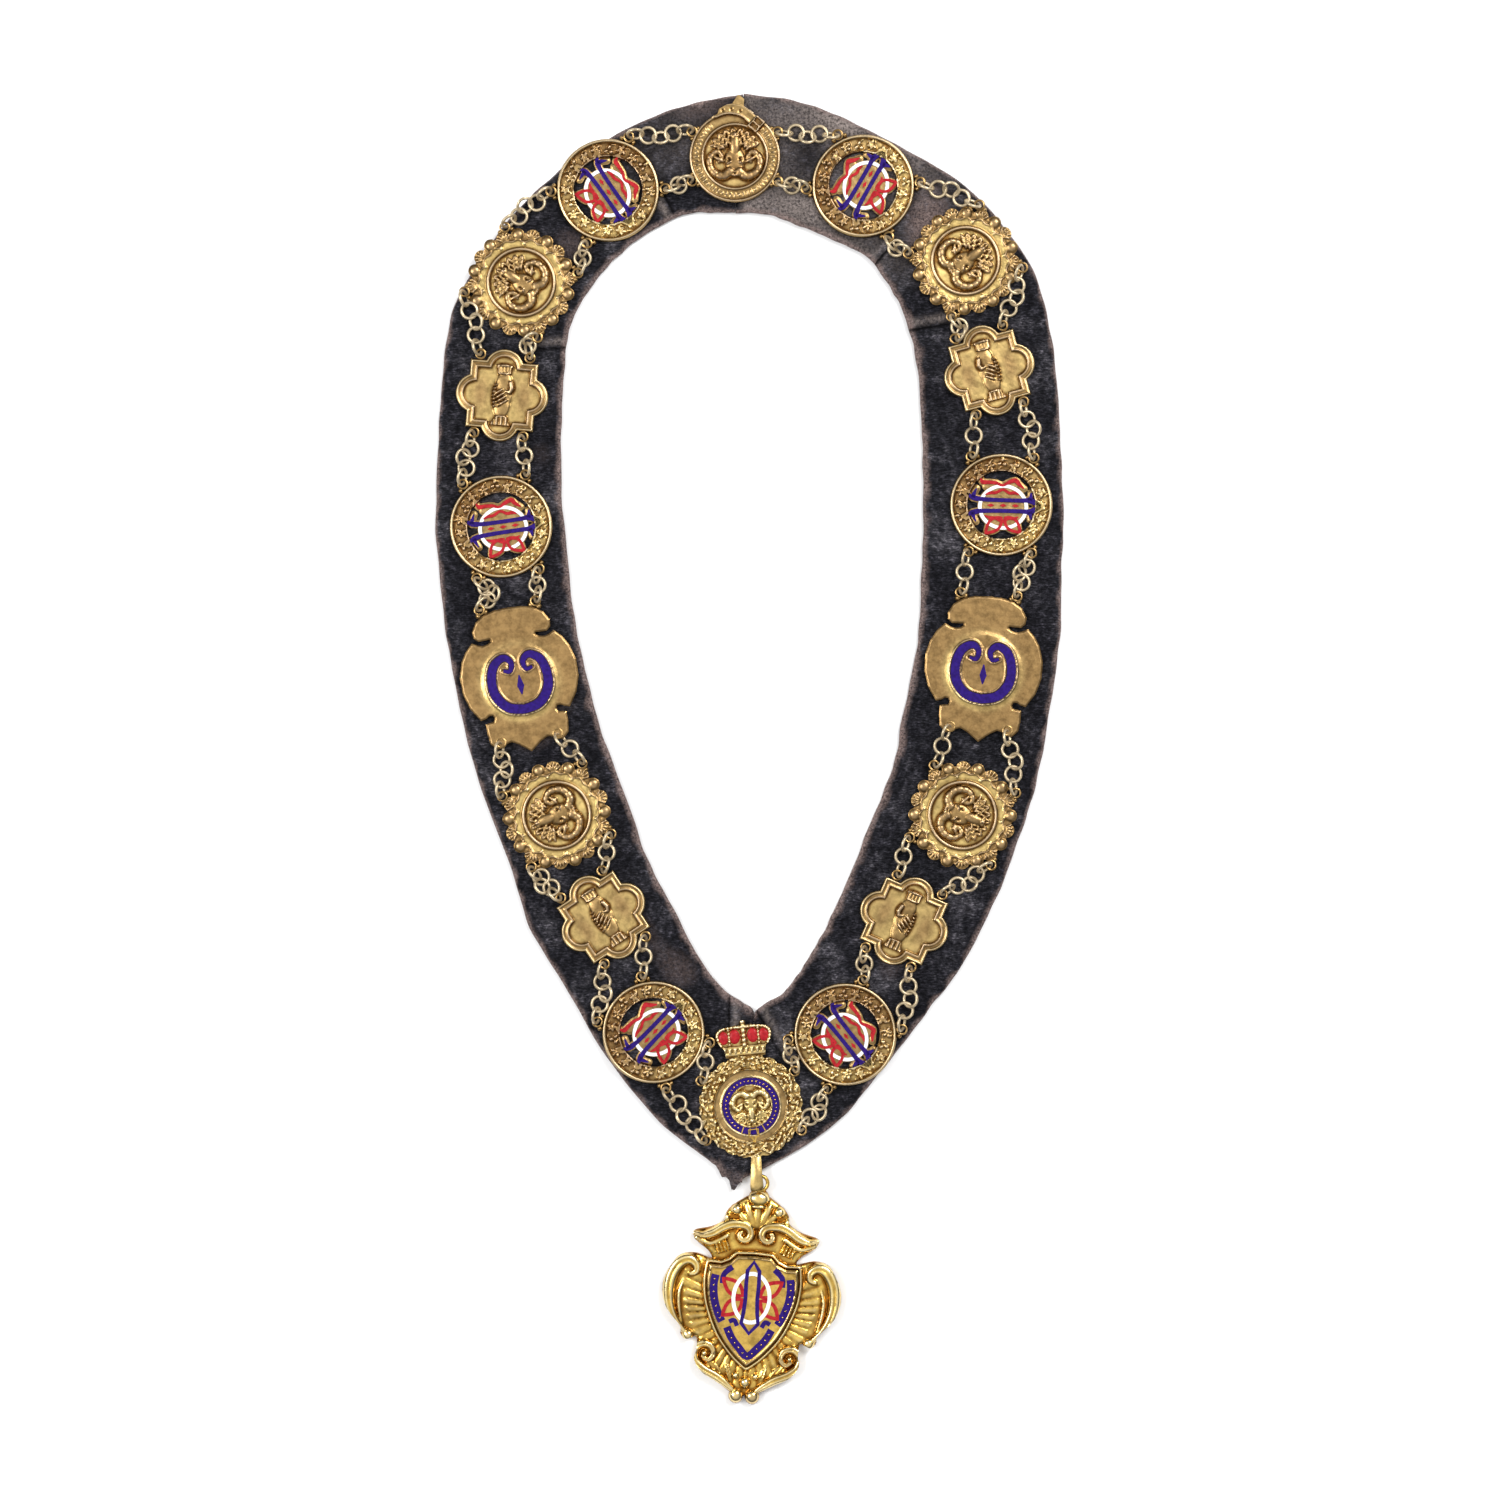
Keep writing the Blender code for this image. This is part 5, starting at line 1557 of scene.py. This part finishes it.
def bail_shape():
    """The tapered strap from the medallion and its hook under the pendant's ring."""
    shape = Shape()
    under = RING_HEIGHT + RING_WIRE + 0.3
    over = under + BAIL_THICK
    start = -22.0
    rows = ((start, 4.2, 5.2), (-24.0, 4.4, 5.9), (-27.0, 4.7, over), (-31.0, 5.1, over + 0.1),
            (-35.0, BAIL_WIDTH, over), (-36.6, 5.6, over - 0.15), (-37.1, 4.8, over - 0.5))
    count = 8
    shares = [k / (count - 1) * 2 - 1 for k in range(count)]
    points = []
    for y, width, top in rows:
        lean = BAIL_LEAN * (y - start)
        points.extend((t * width / 2 + lean, y, top - 0.7 * t * t) for t in shares)
        points.extend((-t * width / 2 + lean, y, top - BAIL_THICK - 0.1) for t in shares)
    faces = grid_faces(len(rows), 2 * count, True)
    faces.append(tuple(range(2 * count)))
    faces.append(tuple(reversed([(len(rows) - 1) * 2 * count + k for k in range(2 * count)])))
    shape.add(points, faces)
    low = RING_HEIGHT - RING_WIRE - 0.5
    hook = ((-36.6, over - 0.4), (-36.9, 5.6), (-36.4, low), (-33.0, low - 0.4), (-29.0, low),
            (-27.4, 5.2), (-26.6, under))
    points = []
    for y, z in hook:
        for x in (-0.9, 0.9):
            points.append((x, y, z))
            points.append((x, y + 0.25, z + 0.35))
    shape.add(points, [(4 * i + a, 4 * i + b, 4 * i + 4 + b, 4 * i + 4 + a)
                       for i in range(len(hook) - 1) for a, b in ((0, 2), (2, 3), (3, 1), (1, 0))])
    return shape


def frame_extras():
    """The pendant's ring, round on all sides."""
    shape = Shape()
    middle = PENDANT_HALF_HEIGHT - 0.4 * FINIAL_RADIUS + FINIAL_RADIUS + RING_RADIUS - 3 * RING_WIRE
    add_torus(shape, Vector((0, middle, RING_HEIGHT)), Vector((1, 0, 0)), Vector((0, 1, 0)),
              RING_RADIUS, RING_WIRE, 32, 10)
    return shape


def shield_enamel():
    shape = Shape()
    low, top = SHIELD_LOW + 1.6, SHIELD_LOW + SHIELD_THICK + 0.12
    for route, width in SHIELD_BLUE:
        add_ribbon(shape, curve_through(route, 4), width, low, top, 0)
    for row in SHIELD_LEAVES:
        for side in (1, -1):
            outline = [(side * x, y) for x, y in leaf_loop(*row)]
            add_ribbon(shape, outline, 1.8, low, top + 0.04, 1, True)
    add_ribbon(shape, loop_points(0, 0.4, 7.9, 10.7, 56), 1.9, low, top + 0.1, 2, True)
    add_ribbon(shape, SHIELD_LANCET, 1.9, low, top + 0.18, 0, True)
    return shape


def shield_beads():
    """Gilt dots along the three long blue bands."""
    shape = Shape()
    top = SHIELD_LOW + SHIELD_THICK + 0.1
    for route, _ in SHIELD_BLUE[:3]:
        points = curve_through(route, 8)
        for i in range(4, len(points) - 4, 4):
            x, y = points[i]
            add_ball(shape, (x, y, top), (0.42, 0.42, 0.22), 8, 3)
    return shape


# Chains

def steep_height():
    return VELVET_TOP + LINK_LIFT + LINK_WIRE + LINK_RADIUS * math.sin(LINK_TILT)


def level_in_link():
    return (steep_height() - LUG_MIDDLE) / math.sin(LINK_TILT)


def end_reach():
    return math.sqrt(LINK_RADIUS ** 2 - level_in_link() ** 2)


def chain_route(start, end, links, side):
    chord = end - start
    wanted = 2 * end_reach() + (links - 1) * LINK_SLACK_PITCH
    spare = max(wanted - chord.length, 0)
    bow = math.sqrt(3 * chord.length * spare / 8)
    across = Vector((-chord.y, chord.x, 0)).normalized() * side
    return [start + chord * t + across * 4 * bow * t * (1 - t) for t in (i / 40 for i in range(41))]


def walk(points, distance):
    for a, b in zip(points, points[1:]):
        step = (b - a).length
        if distance <= step:
            break
        distance -= step
    ahead = (b - a).normalized()
    return a + ahead * distance, ahead


def tilted(left, angle):
    return left * math.cos(angle) + Vector((0, 0, math.sin(angle)))


def chain_shape(route, least, dice):
    """Round wire links in turn steep and flat, each a little askew. A middle one lies over."""
    shape = Shape()
    length = sum((b - a).length for a, b in zip(route, route[1:]))
    touch = LINK_RADIUS - 2 * LINK_WIRE + LINK_TOUCH
    links = least
    while 2 * end_reach() + (links - 1) * (LINK_RADIUS + touch) < length:
        links += 2
    pitch = (length - 2 * end_reach()) / (links - 1)
    below = math.sqrt(max(touch ** 2 - (pitch - LINK_RADIUS) ** 2, 0))
    flat_height = steep_height() - below * math.sin(LINK_TILT)
    for i in range(links):
        middle, ahead = walk(route, end_reach() + i * pitch)
        left = Vector((-ahead.y, ahead.x, 0))
        if i % 2:
            side = tilted(left, math.radians(dice.uniform(-LINK_TIP, LINK_TIP)))
            centre = middle + Vector((0, 0, flat_height))
        elif 0 < i < links - 1:
            side = tilted(left * (1 if dice.random() < 0.5 else -1), LINK_LYING)
            centre = middle + side * below + Vector((0, 0, flat_height))
        else:
            left = left * (1 if i % 4 else -1)
            side = tilted(left, LINK_TILT)
            lean = left * math.cos(LINK_TILT) * level_in_link()
            centre = middle + lean + Vector((0, 0, steep_height()))
        add_torus(shape, centre, ahead, side, LINK_RADIUS, LINK_DRAWN)
    return shape


def add_chains(plates, letter, material):
    outer = -1 if letter == "L" else 1
    dice = np.random.default_rng(SEED + outer)
    for i, (above, below) in enumerate(zip(plates, plates[1:])):
        for kind, side, least in (("outer", outer, OUTER_LINKS), ("inner", -outer, INNER_LINKS)):
            start_key, end_key = ("lower", side), ("upper", side)
            if above[1] == "top":
                start_key = ("upper" if kind == "outer" else "lower", outer)
            if below[1] == "centre":
                end_key = ("lower" if kind == "outer" else "upper", outer)
            ends = []
            for row, key in ((above, start_key), (below, end_key)):
                ends.append((plate_matrix(row) @ (lug_places(row[1])[key] * MM)) / MM)
            to_neck = outer if kind == "inner" and above[1] == "scallop" else -outer
            shape = chain_shape(chain_route(*ends, least, to_neck), least, dice)
            name = f"{kind}_chain_{i + 1}{letter}"
            item = finished(name + "_links", shape.mesh(name + "_links"), [material])
            dress(item, "pale_brass", name)


def dress(item, slot, *nodes):
    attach(item, "root")
    if nodes:
        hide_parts(*nodes)
    return item


# Velvet

def smooth_rows(rows, places):
    """The rows at places from 0 to 1, on a smooth curve through them all."""
    table = np.array(rows, float)
    spans = places * (len(rows) - 1)
    start = np.minimum(spans.astype(int), len(rows) - 2)
    t = (spans - start)[:, None]
    a, b, c, d = (table[np.clip(start + k, 0, len(rows) - 1)] for k in (-1, 0, 1, 2))
    return b + ((c - a) * t + (2 * a - 5 * b + 4 * c - d) * t ** 2 + (3 * b - a - 3 * c + d) * t ** 3) / 2


def cloud(x, y, scale, seed):
    """A soft value from -1 to 1 that wanders over the plane."""
    dice = np.random.default_rng(seed)
    total = np.zeros_like(x)
    for _ in range(9):
        turn, phase = dice.random() * math.tau, dice.random() * math.tau
        rate = scale * (0.6 + 0.9 * dice.random())
        total += np.sin(rate * (x * math.cos(turn) + y * math.sin(turn)) + phase)
    return total / 4.5


def creases_at(x, y):
    """How far folds raise the velvet, the painted shade along their edges and the painted highlight on
    their lips.
    """
    rise, crease_shade, lip = np.zeros_like(x), np.zeros_like(x), np.zeros_like(x)
    for (ax, ay), (bx, by), reach, height in CREASES:
        distance, _ = segment(x, y, (ax, ay), (bx, by))
        length = math.hypot(bx - ax, by - ay)
        left = ((bx - ax) * (y - ay) - (by - ay) * (x - ax)) / length
        ends = np.exp(-(np.maximum(distance - np.abs(left), 0) / 3) ** 2)
        swell = np.where(left > 0, np.exp(-(left / reach) ** 2), np.exp(-(left / 0.5) ** 2))
        rise = np.maximum(rise, height * swell * ends)
        # Painted shade: a dark line along each fold's edge
        crease_shade = np.maximum(crease_shade, np.exp(-((distance + 0.2 + 0.5 * np.sign(left)) / 0.9) ** 2))
        # Painted highlight: a lighter band on the lip above each fold
        lip = np.maximum(lip, np.exp(-((left - 2.6) / 1.7) ** 2) * ends)
    return rise, crease_shade, lip


def velvet_profile():
    """Places across the strip: share of the half width, bulge of the rim and lift."""
    lip = [(math.cos(math.radians(a)), math.sin(math.radians(a))) for a in np.linspace(-90, 90, 7)]
    inner = [(t, 0, 1) for t in np.linspace(-1, 1, VELVET_COLUMNS)[1:-1]]
    return [(-1, c, s) for c, s in lip] + inner + [(1, c, s) for c, s in reversed(lip)]


def grown(value, start, reach):
    """From 0 at the start to 1 a reach further on."""
    return np.clip((value - start) / reach, 0, 1)


def velvet_wear(x, y, depth, outward, seed):
    """How brown the velvet is rubbed, along its ragged rim and in patches."""
    ragged = 0.05 + 0.035 * cloud(x, y, 0.6, seed + 3) + (0.03 if outward else 0)
    rim = np.clip(1.15 - depth / np.maximum(ragged, 0.012), 0, 1)
    patch = np.clip(cloud(x, y, 0.11, seed + 5) - 0.8, 0, 1) * 0.5
    return np.clip(rim * 0.8 + patch, 0, 1)


def velvet_fade(x, y, depth, seed):
    """How grey the velvet is: at the top, most of all right of the seam, and as a painted highlight on the
    folds' lips.
    """
    faded = grown(y, *FADE_UP) * grown(x, *FADE_SEAM) * grown(-x, *FADE_LEFT)
    faded = faded * np.clip(1.1 - 1.2 * depth, 0.3, 1)
    crown = grown(y, *FADE_CROWN) * 0.2
    soft = 0.5 + 0.6 * cloud(x, y, 0.16, seed + 9)
    # Faded places, with a painted highlight on the folds' lips
    grey_share_with_lip_highlight = highest(faded, crown, 0.6 * creases_at(x, y)[2])
    return np.clip(grey_share_with_lip_highlight * (0.25 + 0.85 * soft), 0, 1)


def velvet_faces(count, turned):
    """The closed strip's sides and ends, turned over for the half that runs the other way."""
    faces = grid_faces(VELVET_STATIONS, count, True)
    faces.append(tuple(reversed(range(count))))
    faces.append(tuple((VELVET_STATIONS - 1) * count + k for k in range(count)))
    return [tuple(reversed(face)) for face in faces] if turned else faces


def flat_size(middle_x, middle_y, half):
    """Width and length of the strip laid flat, and its area, in metres."""
    steps = np.hypot(np.diff(middle_x), np.diff(middle_y))
    flat = (float(2 * half.max()) * MM, float(steps.sum()) * MM)
    return flat, float((2 * half[1:] * steps).sum()) * MM * MM


def velvet_piece(name, sections, material, seed):
    """One half of the collar: a puffed, worn strip through its sections.

    Returns the piece with its flat size and area.
    """
    along = np.linspace(0, 1, VELVET_STATIONS)
    rows = smooth_rows(sections, along)
    middle_x = rows[:, 0] * COLLAR_WIDTH / 2 / MM
    middle_y = (COLLAR_TOP - rows[:, 1] * COLLAR_LENGTH) / MM
    bearing = np.radians(rows[:, 3])
    out_x, out_y = np.cos(bearing), np.sin(bearing)
    facing = 1 if sections is LEFT_SECTIONS else -1
    ends = np.zeros(VELVET_STATIONS)
    ends[0], ends[-1] = SEAM_GAP / 2 / MM, -SEAM_GAP / 2 / MM
    half = rows[:, 2] * BAND_WIDTH / 2 / MM
    tail = TAIL_REACH * np.exp(-((along - 0.992) / 0.009) ** 2) * (facing > 0)
    half = half + 0.3 * cloud(middle_x + 2 * half * out_x, middle_y, 0.35, seed + 1)
    points, wears, fades_and_lip_highlights, painted_fold_shades = [], [], [], []
    profile = velvet_profile()
    for t, bulge, lift in profile:
        across = t * (half - VELVET_EDGE) + (bulge * VELVET_EDGE * t if abs(t) == 1 else 0)
        across = across - tail * max(-t, 0) ** 3 * (1 + 0.4 * np.sin(middle_x * 2.1))
        x = middle_x - out_x * across - out_y * facing * ends
        y = middle_y - out_y * across + out_x * facing * ends
        z = np.full_like(x, VELVET_MIDDLE * (1 + lift))
        depth = 1 - np.abs(across) / half
        rise, crease_shade, _ = creases_at(x, y)
        if lift > 0.3:
            z = z + VELVET_PUFF * np.clip(depth * 6, 0, 1) * lift
            z = z + VELVET_WAVES * cloud(x, y, 0.16, seed) * np.clip(depth * 8, 0, 1)
            z = np.minimum(z, VELVET_REST) + rise * lift
        points.append(np.stack([x, y, z], 1))
        wears.append(velvet_wear(x, y, depth, t > 0, seed) * (1 - 0.75 * tail / TAIL_REACH))
        fades_and_lip_highlights.append(velvet_fade(x, y, depth, seed))
        # Painted shade along the folds, on the puffed top only
        painted_fold_shades.append(np.clip(crease_shade, 0, 1) * (lift > 0.3))
    mesh = bpy.data.meshes.new(name)
    points = np.stack(points, 1).reshape(-1, 3) * MM
    mesh.from_pydata(points.tolist(), [], velvet_faces(len(profile), facing > 0))
    for key, values in (("wear", wears), ("fade_and_lip_highlight", fades_and_lip_highlights), ("painted_fold_shade", painted_fold_shades)):
        set_values(mesh, key, np.stack(values, 1).ravel())
    item = finished(name, mesh, [material], crease=CLOTH_CREASE)
    return item, *flat_size(middle_x, middle_y, half)


# Studio

def add_sky(scene):
    world = bpy.data.worlds.new("studio")
    scene.world = world
    world.use_nodes = True
    shade = Shading(world.node_tree)
    place = shade.nodes.new("ShaderNodeTexCoord")
    split = shade.nodes.new("ShaderNodeSeparateXYZ")
    shade.link(place.outputs["Generated"], split.inputs[0])
    sky = shade.ramp(split.outputs["Z"], [(at, (grey, grey, grey)) for at, grey in SKY])
    background = shade.nodes["Background"].inputs
    shade.link(sky, background["Color"])
    background["Strength"].default_value = 1.0


def add_studio():
    bpy.ops.mesh.primitive_plane_add(size=FLOOR_SIZE, location=(0, 0, FLOOR_HEIGHT))
    floor = bpy.context.object
    floor.name = "floor"
    floor.data.materials.append(floor_material())
    scene = bpy.context.scene
    scene.view_settings.view_transform = "Standard"
    add_sky(scene)
    for name, place, size, power in LAMPS:
        data = bpy.data.lights.new(name, "AREA")
        data.size = size
        data.energy = power
        lamp = bpy.data.objects.new(name, data)
        lamp.location = place
        lamp.rotation_euler = (Vector((0, 0, 0)) - Vector(place)).to_track_quat("-Z", "Y").to_euler()
        scene.collection.objects.link(lamp)
    camera = bpy.data.cameras.new("camera")
    camera.sensor_width = SENSOR_WIDTH
    camera.lens = SENSOR_WIDTH * CAMERA_HEIGHT / FRAME_WIDTH
    eye = bpy.data.objects.new("camera", camera)
    eye.location = (*FRAME_MIDDLE, CAMERA_HEIGHT)
    scene.collection.objects.link(eye)
    scene.camera = eye


# The whole object

def add_velvet():
    velvet = velvet_material()
    for name, sections, seed in zip(("velvet_left", "velvet_right"), (LEFT_SECTIONS, RIGHT_SECTIONS),
                                    VELVET_SEEDS):
        item, flat, area = velvet_piece(name + "_cloth", sections, velvet, seed)
        dress(item, "velvet", name)


def plate_drawings():
    """Outline, heights, tint and extent of each plate's relief."""
    drawings = {
        "knot": (knot_edge, knot_height, knot_tint, square(23.2)),
        "cartouche": (cartouche_edge, cartouche_height, cartouche_tint, (-26.6, 26.6, -33, 32.4)),
        "top": (top_edge, top_height, top_tint, (-21, 21, -21, 28)),
        "centre": (centre_edge, centre_height, centre_tint, (-24, 24, -24, 38.6)),
    }
    for letter, turn, side in (("L", 0.0, 1), ("R", math.pi, -1)):
        drawings["scallop_" + letter] = (
            scallop_edge, scallop_height(turn), scallop_tint(turn), square(24.6))
        drawings["quatrefoil_" + letter] = (
            quatrefoil_edge, quatrefoil_height(side), quatrefoil_tint(side), square(21.0))
    return drawings


def add_plates(gilt, enamel_colours):
    """Each plate's relief, eyelets and enamel. Plates of one form share their meshes."""
    reliefs = {key: relief_mesh(key + " relief", *drawing, PLATE_CELL, PLATE_BASE)
               for key, drawing in plate_drawings().items()}
    lugs = {form: lug_shape(form).mesh(form + " lugs", LUG_TINT) for form in LUG_SETTING}
    enamels = {"knot": knot_enamel().mesh("knot enamel"),
               "cartouche": cartouche_enamel().mesh("scroll enamel"),
               "centre": centre_enamel().mesh("centre enamel")}
    smooth(reliefs.values(), [gilt], RELIEF_CREASE)
    smooth(lugs.values(), [gilt], SMALL_CREASE)
    smooth(enamels.values(), enamel_colours, SMALL_CREASE)
    for row in (TOP_PLATE, *LEFT_PLATES, *RIGHT_PLATES, CENTRE_PLATE):
        node, form = row[:2]
        matrix = plate_matrix(row)
        key = form if form in reliefs else f"{form}_{node[-1]}"
        dress(placed(node + "_relief", reliefs[key], matrix), "antique_gilt", node)
        dress(placed(node + "_eyelets", lugs[form], matrix), "antique_gilt")
        if form in enamels:
            dress(placed(node + "_enamel", enamels[form], matrix), None)


def add_pendant(bright, enamel_colours):
    drop = COLLAR_LENGTH + PENDANT_DROP - PENDANT_HALF_HEIGHT * MM
    turn = Matrix.Rotation(math.radians(PENDANT_TURN), 4, "Z")
    matrix = Matrix.Translation((PENDANT_ACROSS, COLLAR_TOP - drop, 0)) @ turn
    frame = relief_mesh("frame relief", frame_edge, frame_height, frame_tint,
                        (-40.4, 40.4, -47.4, 48.6), PENDANT_CELL, PENDANT_BASE, True)
    shield = relief_mesh("shield relief", shield_edge, shield_height, shield_tint,
                         (-21, 21, -31, 20), PENDANT_CELL, SHIELD_FOOT)
    for name, mesh, nodes in (("pendant_scrollwork", frame, ["pendant_frame"]),
                              ("pendant_ring", frame_extras().mesh("ring"), []),
                              ("pendant_shield_plate", shield, ["pendant_shield"]),
                              ("pendant_beads", shield_beads().mesh("beads"), [])):
        dress(finished(name, mesh, [bright], matrix), "bright_gilt", *nodes)
    enamel_mesh = shield_enamel().mesh("shield enamel")
    dress(finished("pendant_enamel", enamel_mesh, enamel_colours, matrix), None)


def main():
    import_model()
    add_studio()
    add_velvet()
    gilt = metal("antique gilt", *GILT)
    pale = metal("pale brass", *PALE)
    bright = metal("bright gilt", *BRIGHT)
    enamel_colours = [enamel("blue enamel", *BLUE), enamel("red enamel", *RED),
                      enamel("white enamel", *WHITE)]
    add_plates(gilt, enamel_colours)
    middle = plate_matrix(CENTRE_PLATE)
    beads = centre_beads().mesh("centre_beads")
    dress(finished("centre_beads", beads, [bright], middle), "bright_gilt")
    bail = bail_shape().mesh("bail_strap")
    dress(finished("bail_strap", bail, [gilt], middle), "antique_gilt")
    add_chains((TOP_PLATE, *LEFT_PLATES, CENTRE_PLATE), "L", pale)
    add_chains((TOP_PLATE, *RIGHT_PLATES, CENTRE_PLATE), "R", pale)
    add_pendant(bright, enamel_colours)


main()
